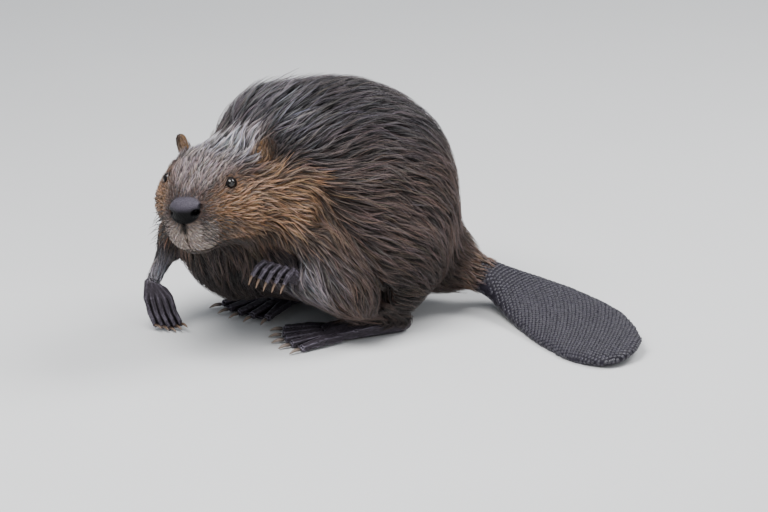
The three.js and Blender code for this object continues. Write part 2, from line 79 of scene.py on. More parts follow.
def head_axes():
    """Rows forward, left and up of the head in the beaver's frame."""
    yaw, pitch, roll = (math.radians(a) for a in HEAD_TURN)
    forward = np.array([math.sin(yaw) * math.cos(pitch), -math.cos(yaw) * math.cos(pitch), -math.sin(pitch)])
    level = np.array([math.cos(yaw), math.sin(yaw), 0.0])
    rise = np.cross(forward, level)
    left = level * math.cos(roll) + rise * math.sin(roll)
    up = rise * math.cos(roll) - level * math.sin(roll)
    return np.array([forward, left, up])


HEAD_AXES = head_axes()


def in_head(points):
    """Places in the beaver's frame as places in the head's."""
    return (points - HEAD_CENTRE) @ HEAD_AXES.T


def from_head(points):
    """Places in the head's frame as places in the beaver's."""
    return np.asarray(points, float) @ HEAD_AXES + HEAD_CENTRE


def unit(vectors):
    return vectors / np.maximum(np.linalg.norm(vectors, axis=-1, keepdims=True), 1e-9)


def ease(low, high, value):
    """0 below low, 1 above high and smooth between; the other way round when low is above high."""
    t = np.clip((value - low) / (high - low), 0.0, 1.0)
    return t * t * (3.0 - 2.0 * t)


def near(points, centre, reach):
    """1 at the centre, falling off like a bell; reach is one number or one for each axis."""
    return np.exp(-0.5 * (((points - np.asarray(centre, float)) / reach) ** 2).sum(-1))


def ripple(points, wavelength, seed):
    """A smooth random field of about -1 to 1 that changes over the wavelength."""
    rng = np.random.default_rng(seed)
    waves = unit(rng.normal(size=(7, 3))) * (2 * math.pi / wavelength) * rng.uniform(0.6, 1.5, (7, 1))
    return np.sin(points @ waves.T + rng.uniform(0, 6.28, 7)).sum(1) / 3.2


# ------------------------------------------------------------------ coat zones

# What the skin and the coat are like over each node: rounds of smoothing, depth of the coat, the length and
# the width of its hair, the size of a clump, how much hair there is, how it lies and its colour's name.
Zone = namedtuple("Zone", "smooth depth length width cell amount way colour")

# Each colour's shade at the root of the hair; the tips' colours are settings.
UNDER = {
    "back": srgb(15, 13, 14),
    "arms": srgb(14, 12, 13),
    "rump": srgb(32, 26, 24),
    "paws": srgb(38, 35, 40),
    "tail": srgb(45, 42, 50),
    "nose": srgb(5, 5, 6),
}

ZONES = {
    "head": Zone(18, 3.4, 15, 1.05, 3.4, 1.0, None, "back"),
    "lower_jaw": Zone(15, 2.0, 10, 1.0, 3.4, 1.0, None, "back"),
    "nose_pad": Zone(4, 0.0, 3, 0.6, 3.0, 0.0, None, "nose"),
    "left_ear": Zone(3, 0.5, 5, 0.8, 2.8, 1.0, None, "back"),
    "right_ear": Zone(3, 0.5, 5, 0.8, 2.8, 1.0, None, "back"),
    "neck": Zone(74, 7.5, 38, 1.2, 5.8, 1.0, None, "back"),
    "trunk": Zone(100, 7.0, 43, 1.2, 5.8, 1.0, None, "back"),
    "tail_root": Zone(40, 3.5, 22, 1.2, 4.8, 1.0, (0.15, 0.8, -0.55), "rump"),
    "tail_blade": Zone(40, -1.2, 5, 1.0, 5.0, 0.0, (0.9, 0.3, -0.1), "tail"),
    "left_upper_arm": Zone(30, 5.5, 32, 1.2, 5.4, 1.0, (0.3, 0.45, -0.8), "arms"),
    "left_forearm": Zone(19, 3.5, 26, 1.2, 4.8, 1.0, (0.4, 0.3, -0.86), "arms"),
    "left_forepaw": Zone(2, 0.1, 4, 0.7, 2.6, 0.0, (0.0, -0.55, -0.8), "paws"),
    "right_upper_arm": Zone(30, 5.5, 28, 1.2, 5.2, 1.0, (-0.2, -0.6, -0.75), "arms"),
    "right_forearm": Zone(19, 2.5, 17.5, 1.2, 4.2, 1.0, (0.2, -0.5, -0.85), "arms"),
    "right_forepaw": Zone(2, 0.1, 4, 0.7, 2.6, 0.0, (0.2, 0.2, -0.95), "paws"),
    "left_thigh": Zone(60, 6.0, 38, 1.2, 5.7, 1.0, (0.0, 0.82, -0.57), "back"),
    "right_thigh": Zone(60, 6.0, 38, 1.2, 5.7, 1.0, (0.0, 0.82, -0.57), "back"),
    "left_hind_foot": Zone(3, 0.1, 4, 0.8, 2.8, 0.0, (0.0, -1.0, -0.1), "paws"),
    "right_hind_foot": Zone(3, 0.1, 4, 0.8, 2.8, 0.0, (0.0, -1.0, -0.1), "paws"),
}
EARS = ("left_ear", "right_ear")
HEAD_NODES = ("head", "lower_jaw", "nose_pad", *EARS)
FINE = ("nose_pad", *(n for n in ZONES if n.endswith(("paw", "foot", "ear"))))

# The lie of the hair: a place on the left side, the way that the hair runs there and how far that holds. The
# right side mirrors it.
BODY_STREAMS = (
    ((0, 20, 300), (0.0, 1.0, 0.0), 45),
    ((0, -70, 280), (0.0, 0.85, 0.45), 40),
    ((0, 110, 230), (0.0, 0.75, -0.65), 45),
    ((70, -25, 265), (0.0, 0.85, 0.5), 30),
    ((95, -35, 215), (0.0, 0.95, 0.2), 30),
    ((80, 40, 265), (0.0, 1.0, -0.25), 34),
    ((75, 95, 250), (0.0, 0.8, -0.6), 36),
    ((112, 20, 190), (0.0, 1.0, -0.2), 40),
    ((110, 0, 140), (0.0, 0.95, -0.3), 34),
    ((105, 85, 170), (0.0, 0.88, -0.55), 38),
    ((85, 130, 180), (0.0, 0.5, -0.85), 34),
    ((105, 30, 120), (0.0, 0.86, -0.5), 36),
    ((90, 90, 90), (0.0, 0.75, -0.66), 36),
    ((70, 145, 110), (0.0, 0.2, -1.0), 36),
    ((85, -60, 160), (0.1, 0.6, -0.8), 36),
    ((50, -100, 120), (0.1, 0.25, -0.95), 50),
    ((0, -120, 110), (0.0, 0.1, -1.0), 50),
    ((0, 0, 30), (0.0, 1.0, 0.0), 60),
)
HEAD_STREAMS = (
    ((78, 0, 20), (-1.0, 0.1, 0.3), 16),
    ((45, 0, 40), (-1.0, 0.05, 0.2), 24),
    ((0, 0, 55), (-1.0, 0.1, 0.0), 30),
    ((70, 28, 0), (-0.95, 0.3, -0.1), 16),
    ((72, 20, -28), (-0.6, 0.45, -0.7), 16),
    ((30, 48, 36), (-1.0, 0.1, 0.15), 16),
    ((30, 50, 8), (-1.0, 0.2, -0.12), 20),
    ((40, 50, -25), (-0.95, 0.1, -0.28), 24),
    ((-20, 70, 10), (-1.0, 0.0, -0.2), 30),
    ((-20, 80, -25), (-0.85, 0.0, -0.5), 30),
    ((-40, 40, 40), (-1.0, 0.0, 0.1), 26),
    ((30, 10, -62), (-0.8, 0.1, -0.5), 26),
    ((-20, 30, -62), (-0.7, 0.1, -0.7), 36),
)


def along_streams(points, streams):
    """The way of the hair at points whose second number is the side that mirrors."""
    side = np.sign(points[:, 1:2])
    folded = np.concatenate([points[:, :1], np.abs(points[:, 1:2]), points[:, 2:]], axis=1)
    total = np.zeros_like(points)
    for at, way, reach in streams:
        total += near(folded, at, reach)[:, None] * unit(np.array(way, float)) + 1e-7 * np.array(way)
    total = unit(total)
    total[:, 1:2] *= side
    return total


def hair_ways(points, labels, names):
    """The way of the hair before it is laid on the surface."""
    swap = [1, 0, 2]
    streams = [((y, x, z), (b, a, c), reach) for (x, y, z), (a, b, c), reach in BODY_STREAMS]
    ways = along_streams(points[:, swap], streams)[:, swap]
    head = along_streams(in_head(points), HEAD_STREAMS) @ HEAD_AXES
    for k, name in enumerate(names):
        here = labels == k
        if name in EARS:
            ways[here] = unit(np.array([-0.55, 0.0, 0.83]) @ HEAD_AXES)
        elif name in HEAD_NODES:
            ways[here] = head[here]
        elif ZONES[name].way is not None:
            ways[here] = unit(np.array(ZONES[name].way))
    return ways


def mix(fields, mask, **values):
    """Moves each named field towards its value by the mask."""
    for key, value in values.items():
        m = mask[:, None] if fields[key].ndim == 2 else mask
        fields[key] = fields[key] * (1 - m) + np.asarray(value, float) * m


def paint(fields, mask, tip, under, **values):
    """Moves the hair's two colours, and other fields if named, by the mask."""
    mix(fields, mask, tip=tip, under=under, **values)


def zone_fields(labels, names, colours):
    """The numbers and colours of each vertex's own zone, and which part of the beaver it is on."""
    zones = [ZONES[n] for n in names]
    rows = {key: [getattr(z, key) for z in zones] for key in Zone._fields[:6]}
    rows["under"] = [UNDER[z.colour] for z in zones]
    rows["tip"] = [[*getattr(colours, z.colour)] for z in zones]
    rows["paw"] = [n.endswith(("paw", "foot")) for n in names]
    rows["tail"] = [n == "tail_blade" for n in names]
    rows["nose"] = [n == "nose_pad" for n in names]
    rows["head"] = [n in HEAD_NODES for n in names]
    rows["ear"] = [n in EARS for n in names]
    return {key: np.array(row, float)[labels] for key, row in rows.items()}


def follicles():
    """Where the whiskers root on each side of the muzzle, in the head's frame, in staggered rows."""
    places = []
    for row in range(5):
        for k in range(6):
            ahead = 80.0 - 5.2 * k - 1.5 * (row % 2)
            places.append((ahead, 23.0 + 2.2 * k, -3.0 - 6.6 * row - 0.7 * k))
    return np.array(places)


def mark_head(fields, points, colours):
    """Hair length and colour over the head: short and pale on the muzzle, long and golden on the cheek."""
    local = in_head(points)
    ahead, side, above = local[:, 0], np.abs(local[:, 1]), local[:, 2]
    on = fields["head"]
    folded = np.stack([ahead, side, above], axis=1)
    cheek = on * ease(20, 44, side) * ease(34, 12, above) * ease(84, 64, ahead)
    cheek = cheek * (1 - 0.8 * ease(-15, -45, ahead) * ease(-5, 15, above))
    paint(fields, cheek, colours.cheeks, srgb(46, 35, 28))
    ruff = on * ease(10, 50, side) * ease(30, 0, ahead)
    mix(fields, ruff, length=30, width=1.05, cell=4.8, depth=5.5, wet=0.5)
    ragged = 6 * ripple(local, 11, 7)
    brow = on * ease(20, 36, above + ragged) * ease(50, 28, side + ragged)
    paint(fields, brow, colours.brow, srgb(34, 29, 31))
    mix(fields, brow * ease(66, 40, ahead), wet=0.8, cell=3.7, width=0.9, length=16.5)
    ragged = 1.5 * ragged
    # The crown's silver tips are a painted reflection of the sky on the wet hair.
    crown = on * ease(14, -14, ahead) * ease(-58, -30, ahead + ragged)
    crown = crown * ease(18, 36, above) * ease(56, 32, side + ragged)
    paint(fields, crown, colours.crown, srgb(36, 33, 36), length=34, width=1.7, cell=7.6, depth=4.5, wet=1.0)
    mix(fields, on * ease(34, 66, ahead) * ease(-30, 0, above), length=8, width=0.75, cell=2.7, depth=1.4)
    mix(fields, on * ease(48, 66, ahead) * ease(14, -6, above), length=6.5, width=0.85, cell=2.7, depth=1.5)
    paint(fields, on * ease(58, 74, ahead) * ease(2, -24, above), colours.lips, srgb(78, 68, 63))
    paint(fields, on * ease(-40, -58, above), srgb(84, 70, 62), srgb(28, 24, 23))
    eye = near(folded, EYE_AT["left"], np.array([12.0, 12.0, 9.5]))
    short = dict(length=5.5, width=0.7, cell=2.4, depth=0.9)
    paint(fields, on * eye, srgb(140, 106, 82), srgb(48, 37, 32), **short)
    paint(fields, on * ease(0.66, 0.8, eye), srgb(22, 19, 20), srgb(15, 13, 14), amount=0.0)
    mark_ears(fields, folded)
    mark_nose(fields, local, colours)
    dot = srgb(26, 22, 23)
    for root in follicles():
        paint(fields, 0.9 * on * near(folded, root, 1.6), dot, dot)


def mark_ears(fields, folded):
    """Short fur round the ears, tan on their front edge and dark inside, with painted shade in the hollow
    behind them.
    """
    on = fields["head"]
    mix(fields, on * near(folded, (-26, 60, 38), 13.0), length=9, cell=3.4, width=0.9, depth=1.6, lift=0.3)
    ear = ease(0.15, 0.5, fields["ear"])
    mix(fields, ear, length=4.5, cell=2.3, width=0.65, depth=0.3, wet=0.0, lift=0.1, amount=1.0)
    paint(fields, ear, srgb(72, 57, 52), srgb(24, 20, 20))
    edge = ear * ease(59, 54, folded[:, 1])
    tuft = np.maximum(edge, near(folded, (-27, 57, 37), 9.0))
    paint(fields, on * tuft, srgb(176, 136, 98), srgb(52, 41, 34))
    # Painted shade in the hollow behind the ear.
    paint(fields, near(folded, (-52, 68, 32), 15.0), srgb(30, 26, 29), srgb(12, 11, 12), length=14)


def mark_nose(fields, local, colours):
    """The bare nose, with a painted grey sheen above, black round the nostrils, and the dark split below it.
    """
    on = fields["head"]
    ahead = local[:, 0]
    wide, tall = np.abs(local[:, 1] - NOSE_AT[1]), local[:, 2] - NOSE_AT[2]
    square = ((wide / NOSE_HALF[0]) ** 2.4 + (np.abs(tall) / NOSE_HALF[1]) ** 2.4) ** (1 / 2.4)
    pad = on * ease(1.12, 0.94, square) * ease(52, 60, ahead)
    paint(fields, pad, colours.nose, UNDER["nose"], nose=1.0, amount=0.0, depth=0.0)
    # The grey over the top of the nose is a painted sheen.
    nose_sheen = srgb(68, 64, 72)
    paint(fields, pad * ease(-1, 8, tall), nose_sheen, nose_sheen)
    split = on * ease(7, 2.5, wide) * ease(74, 78, ahead) * ease(-11, -15, tall) * ease(-34, -22, tall)
    paint(fields, 0.85 * split, colours.nose, UNDER["nose"])


def mark_body(fields, points, colours):
    """Hair length, lift and colour over the body, with a painted sheen on top, painted shade underneath and a
    painted highlight on the neck.
    """
    x, y, z = points.T
    body = 1 - fields["head"]
    furred = body * (1 - fields["paw"]) * (1 - fields["tail"])
    # Greyer tips over the top of the body: a painted sheen of the sky on the wet hair.
    paint(fields, furred * ease(205, 275, z), srgb(81, 73, 76), srgb(15, 14, 16))
    # Darker hair low on the belly and the flanks: painted shade under the body.
    belly_shade = furred * ease(150, 80, z) * ease(-40, 10, y) * (0.45 + 0.55 * ease(175, 125, y))
    paint(fields, belly_shade, srgb(72, 58, 52), srgb(11, 10, 10))
    # Darker hair on the chest under the chin: painted shade.
    chest_shade = furred * ease(150, 90, z) * ease(-10, -60, y) * ease(75, 50, x)
    paint(fields, chest_shade, srgb(54, 45, 42), srgb(10, 9, 9))
    ahead, left, above = in_head(points).T
    side = np.abs(left)
    shoulder = furred * ease(142, 88, side + 1.4 * np.clip(above + 12, 0, 60)) * ease(64, 20, above)
    shoulder = shoulder * ease(-84, -58, above) * ease(-88, -50, ahead) * ease(25, 50, side)
    paint(fields, shoulder, colours.shoulders, srgb(26, 21, 19))
    elbow = furred * near(points, (90, -82, 96), (24, 22, 22))
    paint(fields, elbow, srgb(150, 143, 150), srgb(24, 22, 25), wet=1.0)
    wrist = furred * near(points, (-64, -192, 76), (24, 24, 16))
    paint(fields, wrist, srgb(158, 153, 160), srgb(92, 89, 95), wet=1.0)
    # Pale grey tips on top of the neck: a painted highlight on the wet hair.
    neck = furred * near(points, (10, -84, 268), (42, 26, 30))
    paint(fields, neck, srgb(138, 132, 139), srgb(20, 19, 21))
    nape = body * near(points, (0, -80, 285), (60, 30, 36))
    fields["lift"] = fields["lift"] + 0.5 * nape
    fields["wet"] = np.maximum(fields["wet"], nape)
    fields["cell"] = fields["cell"] * (1 + 0.2 * nape)


def mark_paws(fields, bulge):
    """Painted highlights on the knuckles and painted shade in the gaps between the toes."""
    pale, dark = srgb(118, 112, 124), srgb(12, 10, 12)
    # Painted highlight on the raised knuckles.
    paint(fields, fields["paw"] * ease(0.05, 0.7, bulge), pale, pale)
    # Painted shade in the hollows between the toes.
    paint(fields, fields["paw"] * ease(-0.05, -0.45, bulge), dark, dark)


# ------------------------------------------------------------------ meshes from arrays


def mesh_of(name, points, faces, smooth=True):
    """A Blender mesh from points in millimetres and faces that all have the same number of corners."""
    mesh = bpy.data.meshes.new(name)
    faces = np.asarray(faces, np.int32)
    mesh.vertices.add(len(points))
    mesh.vertices.foreach_set("co", ((points - ORIGIN) * MM).astype(np.float32).ravel())
    mesh.loops.add(faces.size)
    mesh.loops.foreach_set("vertex_index", faces.ravel())
    mesh.polygons.add(len(faces))
    mesh.polygons.foreach_set("loop_start", np.arange(0, faces.size, faces.shape[1], dtype=np.int32))
    mesh.update(calc_edges=True)
    if smooth:
        mesh.shade_smooth()
    return mesh


def read(items, key, width, kind=np.float32):
    """The numbers of a mesh's items, one row for each item."""
    flat = np.empty(len(items) * width, kind)
    items.foreach_get(key, flat)
    return flat.reshape(-1, width)


def read_points(mesh):
    return read(mesh.vertices, "co", 3).astype(float) / MM + ORIGIN


def write_points(mesh, points):
    mesh.vertices.foreach_set("co", ((points - ORIGIN) * MM).astype(np.float32).ravel())
    mesh.update()


def read_normals(mesh):
    return read(mesh.vertex_normals, "vector", 3).astype(float)


def read_edges(mesh):
    return read(mesh.edges, "vertices", 2, np.int32)


def read_triangles(mesh):
    mesh.calc_loop_triangles()
    return read(mesh.loop_triangles, "vertices", 3, np.int32)


def give(mesh, name, values):
    """Stores one vector for each vertex, or one colour under the name tint."""
    kind, key = "FLOAT_VECTOR", "vector"
    if name == "tint":
        kind, key = "FLOAT_COLOR", "color"
        values = np.concatenate([np.clip(values, 0, 1), np.ones((len(values), 1))], axis=1)
    layer = mesh.attributes.new(name, kind, "POINT")
    layer.data.foreach_set(key, values.astype(np.float32).ravel())


def linked(name, data):
    """A new object in the scene."""
    thing = bpy.data.objects.new(name, data)
    bpy.context.scene.collection.objects.link(thing)
    return thing


def place(mesh, material, nodes=()):
    """Puts the mesh in the scene as a piece of the model."""
    piece = linked(mesh.name, mesh)
    mesh.materials.append(material)
    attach(piece, "root")
    if nodes:
        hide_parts(*nodes)
    return piece


def modified(mesh, kind, **values):
    """The mesh made anew with one modifier applied."""
    block = linked("block", mesh)
    modifier = block.modifiers.new("change", kind)
    for key, value in values.items():
        setattr(modifier, key, value)
    bpy.context.view_layer.update()
    shown = block.evaluated_get(bpy.context.evaluated_depsgraph_get())
    made = bpy.data.meshes.new_from_object(shown)
    bpy.data.objects.remove(block)
    bpy.data.meshes.remove(mesh)
    return made


def cad_surface(names):
    """The named nodes' surfaces as one set of points and triangles, and each triangle's node."""
    points, triangles, owner, start = [], [], [], 0
    for k, name in enumerate(names):
        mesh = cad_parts[name].data
        faces = read_triangles(mesh)
        where, inverse = np.unique(np.round(read_points(mesh), 3), axis=0, return_inverse=True)
        faces = inverse.reshape(-1)[faces]
        points.append(where)
        triangles.append(faces + start)
        owner.append(np.full(len(faces), k))
        start += len(where)
    return np.concatenate(points), np.concatenate(triangles), np.concatenate(owner)


def cad_tree(names):
    """A search tree over the named nodes' surfaces, and each triangle's node."""
    where, triangles, owner = cad_surface(names)
    return BVHTree.FromPolygons(where.tolist(), triangles.tolist()), owner


def point_tree(points):
    """A search tree over the points."""
    tree = KDTree(len(points))
    for i, point in enumerate(points):
        tree.insert(point, i)
    tree.balance()
    return tree


def point_normals(points, triangles):
    """The mean normal of the triangles round each point, the big ones counting most."""
    a, b, c = (points[triangles[:, i]] for i in range(3))
    face = np.cross(b - a, c - a)
    total = np.zeros_like(points)
    for i in range(3):
        for axis in range(3):
            total[:, axis] += np.bincount(triangles[:, i], face[:, axis], len(points))
    return unit(total)


def spread(values, edges, rounds, share=0.5):
    """Values evened out along the edges; share is how far a round goes, for all or for each vertex."""
    flat = values.reshape(len(values), -1).astype(float)
    a, b = edges.T
    count = len(flat)
    links = np.maximum(np.bincount(a, minlength=count) + np.bincount(b, minlength=count), 1)
    for k in range(rounds):
        step = share(k) if callable(share) else share
        for c in range(flat.shape[1]):
            column = flat[:, c]
            mean = (np.bincount(a, column[b], count) + np.bincount(b, column[a], count)) / links
            flat[:, c] = column + step * (mean - column)
    return flat.reshape(values.shape)


def biggest_part(count, edges):
    """Which vertices belong to the outer shell, the part with the most vertices."""
    label = np.arange(count)
    a, b = edges.T
    while True:
        before = label.copy()
        low = np.minimum(label[a], label[b])
        np.minimum.at(label, a, low)
        np.minimum.at(label, b, low)
        label = label[label]
        if np.array_equal(before, label):
            break
    return label == np.bincount(label).argmax()


# ------------------------------------------------------------------ skin

PIT_SIZE, PIT_DEPTH = (8.0, 6.6, 5.3), 7.5  # of a nostril
SLIT_SIZE, SLIT_BEYOND = (6.0, 3.0, 5.0), (-5.0, 4.5, 5.0)  # the nostril's end, behind and above its middle
GROOVE_DEPTH, MOUTH_DEPTH = 2.4, 2.0
EYE_LONG, EYE_LOW = 1.12, 1.16  # how much longer and lower than a circle the opening of the lids is
LID_THICKNESS = 0.9
LID_EDGE = (5.0, 4.4)  # the opening's edge, from the lid to the dip
SOCKET_DIP = 1.5
FLOOR_GAP = 0.1  # the lowest that the skin comes


def remeshed(names, voxel):
    """One closed surface round the named nodes, which are grown a little so that their gaps close."""
    points, triangles, _ = cad_surface(names)
    points = points + 0.25 * point_normals(points, triangles)
    rough = mesh_of("rough", points, triangles, False)
    whole = modified(rough, "REMESH", mode="VOXEL", voxel_size=voxel)
    form = bmesh.new()
    form.from_mesh(whole)
    keep = biggest_part(len(whole.vertices), read_edges(whole))
    bmesh.ops.delete(form, geom=[v for v, kept in zip(form.verts, keep) if not kept], context="VERTS")
    refine(form)
    form.to_mesh(whole)
    form.free()
    return whole


def refine(form):
    """Splits the faces of the front of the head and of the small parts in four."""
    form.verts.ensure_lookup_table()
    points = np.array([v.co for v in form.verts]) / MM + ORIGIN
    local = in_head(points)
    wanted = (local[:, 0] > 8) & (local[:, 2] > -70) & (np.abs(local[:, 1]) < 75)
    tree, _ = cad_tree(FINE)
    wanted |= np.array([tree.find_nearest(Vector(p), 3.0)[0] is not None for p in points])
    edges = [e for e in form.edges if wanted[e.verts[0].index] and wanted[e.verts[1].index]]
    bmesh.ops.subdivide_edges(form, edges=edges, cuts=1, use_grid_fill=True)


def nearest_nodes(points, names):
    """The node that lies nearest each point."""
    tree, owner = cad_tree(names)
    return np.array([owner[tree.find_nearest(Vector(p))[2]] for p in points])


def evened(fields, edges, rounds):
    """Every field blended across the borders of the zones."""
    keys = list(fields)
    columns = [fields[k].reshape(len(fields[k]), -1) for k in keys]
    flat = spread(np.concatenate(columns, axis=1), edges, rounds, 0.9)
    out, start = {}, 0
    for key, column in zip(keys, columns):
        out[key] = flat[:, start : start + column.shape[1]].reshape(fields[key].shape)
        start += column.shape[1]
    return out


def hollow(points, centre, size, core):
    """1 in the core of an egg with the given half sizes, and 0 at its outside."""
    return ease(1.0, core, np.linalg.norm((points - centre) / size, axis=1))


def sculpt_face(points, fields):
    """Nostrils, philtrum, mouth line and the lids round the eyes; the nostrils, the philtrum's groove and the
    mouth line get painted black shade.
    """
    local = in_head(points)
    on = fields["head"] > 0.4
    ahead, left, above = local.T  # these stay tied to local, so each cut below goes by the ones before it
    side = np.abs(left - NOSE_AT[1] * ease(50, 65, ahead))
    sign = np.sign(left - NOSE_AT[1])
    folded = np.stack([ahead, side, above], axis=1)
    pit = hollow(folded, NOSTRIL, PIT_SIZE, 0.35)
    slit = hollow(folded, NOSTRIL + SLIT_BEYOND, SLIT_SIZE, 0.4)
    rim = near(folded, NOSTRIL + (1.5, 1.0, 2.5), 4.2) * (1 - pit)
    wing = near(folded, NOSTRIL + (-2.0, 4.0, -1.0), 6.5)
    pit = np.maximum(pit, 0.45 * slit)
    local[:, 0] -= on * pit * PIT_DEPTH
    local[:, 1] += on * sign * (1.8 * wing - 4.0 * pit)
    local[:, 0] += on * rim * 1.1
    local[:, 2] += on * rim * 0.7
    groove = ease(2.6, 0.4, side) * ease(72, 78, ahead) * ease(-4, -9, above) * ease(LIP_PLANE, -40, above)
    local[:, 0] -= on * groove * GROOVE_DEPTH
    mouth = ease(3.0, 0.6, np.abs(above - LIP_PLANE)) * ease(12, 26, ahead)
    local[:, 0] -= on * mouth * MOUTH_DEPTH
    local[:, 1] -= on * sign * mouth * 2.4
    # Painted shade: black in the nostril pits, the groove and the mouth line.
    recess_shade = srgb(3, 3, 3)
    paint(fields, on * np.clip(pit + groove * 0.9 + mouth * 0.8, 0, 1), recess_shade, recess_shade, amount=0.0)
    for at in EYE_AT.values():
        local = sculpt_eye(local, np.array(at), on)
    return from_head(local)


def eye_axis(at):
    """The way that the eye at a place looks, in the head's frame."""
    return unit(np.array([0.42, math.copysign(0.88, at[1]), 0.22]))


def sculpt_eye(local, at, on):
    """The skin dips behind the ball in the opening, wraps it as two lids and settles into the face."""
    axis = eye_axis(at)
    away = local - at
    out = away @ axis
    flat = away - out[:, None] * axis
    tall = flat @ unit(np.array([0.0, 0.0, 1.0]) - axis[2] * axis)
    wide = np.sqrt(np.maximum((flat**2).sum(1) - tall**2, 0))
    reach = np.sqrt((wide / EYE_LONG) ** 2 + (tall * EYE_LOW) ** 2)
    close = on & (out > -4) & (np.linalg.norm(away, axis=1) < 17)
    lid = LID_THICKNESS + np.sqrt(np.maximum(EYE_RADIUS**2 - np.minimum(reach, EYE_RADIUS) ** 2, 0))
    opening = ease(*LID_EDGE, reach)
    wrap = ease(9.5, 6.0, reach) * (1 - opening)
    fold = LID_THICKNESS * np.exp(-(((reach - 9.2) / 1.5) ** 2))
    target = out * (1 - wrap) + np.maximum(out * 0.25 + lid * 0.75, lid) * wrap - fold
    target = target * (1 - opening) - SOCKET_DIP * opening
    return local + ((target - out) * close)[:, None] * axis


def tail_curve():
    """The tail blade's middle line in short steps, with the way that it runs and the length up to each."""
    corners = np.linspace(0, 1, len(TAIL_SPINE))
    steps = np.linspace(0, 1, 121)
    line = np.stack([np.interp(steps, corners, TAIL_SPINE[:, k]) for k in range(2)], axis=1)
    for _ in range(260):
        line[1:-1] = 0.25 * line[:-2] + 0.5 * line[1:-1] + 0.25 * line[2:]
    runs = np.append(0, np.cumsum(np.linalg.norm(np.diff(line, axis=0), axis=1)))
    return line, unit(np.gradient(line, axis=0)), runs


def tail_grid(points):
    """Millimetres along and across the tail blade and the height, for its rows of scales."""
    line, ways, runs = tail_curve()
    tree = point_tree([(x, y, 0.0) for x, y in line])
    i = np.array([tree.find((x, y, 0.0))[1] for x, y, _ in points])
    away = points[:, :2] - line[i]
    along = runs[i] + (away * ways[i]).sum(1)
    across = ways[i, 0] * away[:, 1] - ways[i, 1] * away[:, 0]
    return np.stack([along, across, points[:, 2]], axis=1)


def press_ears(points, edges, ear):
    """Lays the skin of the ears on their own thin form, from which the smoothing has drawn it back."""
    tree, _ = cad_tree([*EARS, "head"])
    members = np.flatnonzero(ear > 0.2)
    share = ease(0.2, 0.6, ear[members])[:, None]
    for _ in range(3):
        nearest = np.array([tree.find_nearest(Vector(p))[0] for p in points[members]])
        points[members] += share * (nearest - points[members])
        points = spread(points, edges, 1, 0.3 * ear)
    return points


def press_toes(mesh, points, edges, paw):
    """Lays the skin of the paws and feet back on the toes step by step, so that the gaps open."""
    tree, _ = cad_tree([*ZONES, *(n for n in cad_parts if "claw" in n)])
    members = np.flatnonzero(paw > 0.3)
    share = ease(0.3, 0.7, paw[members])[:, None]
    for _ in range(5):
        write_points(mesh, points)
        normals = unit(spread(read_normals(mesh), edges, 2))[members]
        starts = points[members] + 0.6 * normals
        hits = [tree.ray_cast(Vector(p), Vector(-n), 2.8)[0] for p, n in zip(starts, normals)]
        pressed = np.array([hit or p - 1.4 * n for hit, p, n in zip(hits, starts, normals)])
        points[members] += share * (pressed - points[members])
        points = spread(points, edges, 1, 0.35 * paw)
    return spread(points, edges, 2, 0.35 * paw)


def build_form(voxel, colours):
    """The skin's mesh, with the fields that the skin's own look and the coat are made from."""
    names = list(ZONES)
    mesh = remeshed(names, voxel)
    points, edges = read_points(mesh), read_edges(mesh)
    labels = nearest_nodes(points, names)
    fields = zone_fields(labels, names, colours)
    rounds = spread(fields["smooth"], edges, 12)
    points = spread(points, edges, 100, lambda k: 0.9 * np.clip(rounds - k, 0, 1))
    fields = evened(fields, edges, 25)
    fields["lift"] = np.zeros(len(points))
    fields["wet"] = np.zeros(len(points))
    mark_head(fields, points, colours)
    mark_body(fields, points, colours)
    write_points(mesh, points)
    points = press_toes(mesh, points, edges, fields["paw"])
    points = press_ears(points, edges, fields["ear"])
    cuff = ease(0.04, 0.4, spread(fields["paw"], edges, 30, 0.9))
    mix(fields, 0.75 * cuff * (1 - fields["paw"]), depth=1.0, length=9.0, cell=3.4, width=0.9)
    write_points(mesh, points)
    mark_paws(fields, ((points - spread(points, edges, 8)) * read_normals(mesh)).sum(1))
    ways = unit(spread(hair_ways(points, labels, names), edges, 38, 0.9))
    points = points - unit(spread(read_normals(mesh), edges, 9)) * fields["depth"][:, None]
    points = spread(points, edges, 20, lambda k: 0.9 * np.clip(fields["depth"] * 3 - k, 0, 1))
    points = sculpt_face(points, fields)
    points[:, 2] = np.maximum(points[:, 2], FLOOR_GAP)
    write_points(mesh, points)
    lay_hair(mesh, points, edges, ways, fields)
    return mesh, points, fields


def lay_hair(mesh, points, edges, ways, fields):
    """The lie of the hair along the finished skin, and the places that the skin's patterns go by."""
    normal = unit(spread(read_normals(mesh), edges, 5))
    ways = unit(ways + ripple(points, 60, 3)[:, None] * np.cross(ways, normal) * 0.16)
    fields["flow"] = unit(ways - (ways * normal).sum(1)[:, None] * normal)
    fields["normal"] = normal
    tail = fields["tail"] > 0.02
    fields["grid"] = points.copy()
    fields["grid"][tail] = tail_grid(points[tail])
    fields["comb"] = points - 0.8 * (points * ways).sum(1)[:, None] * ways


# ------------------------------------------------------------------ coat

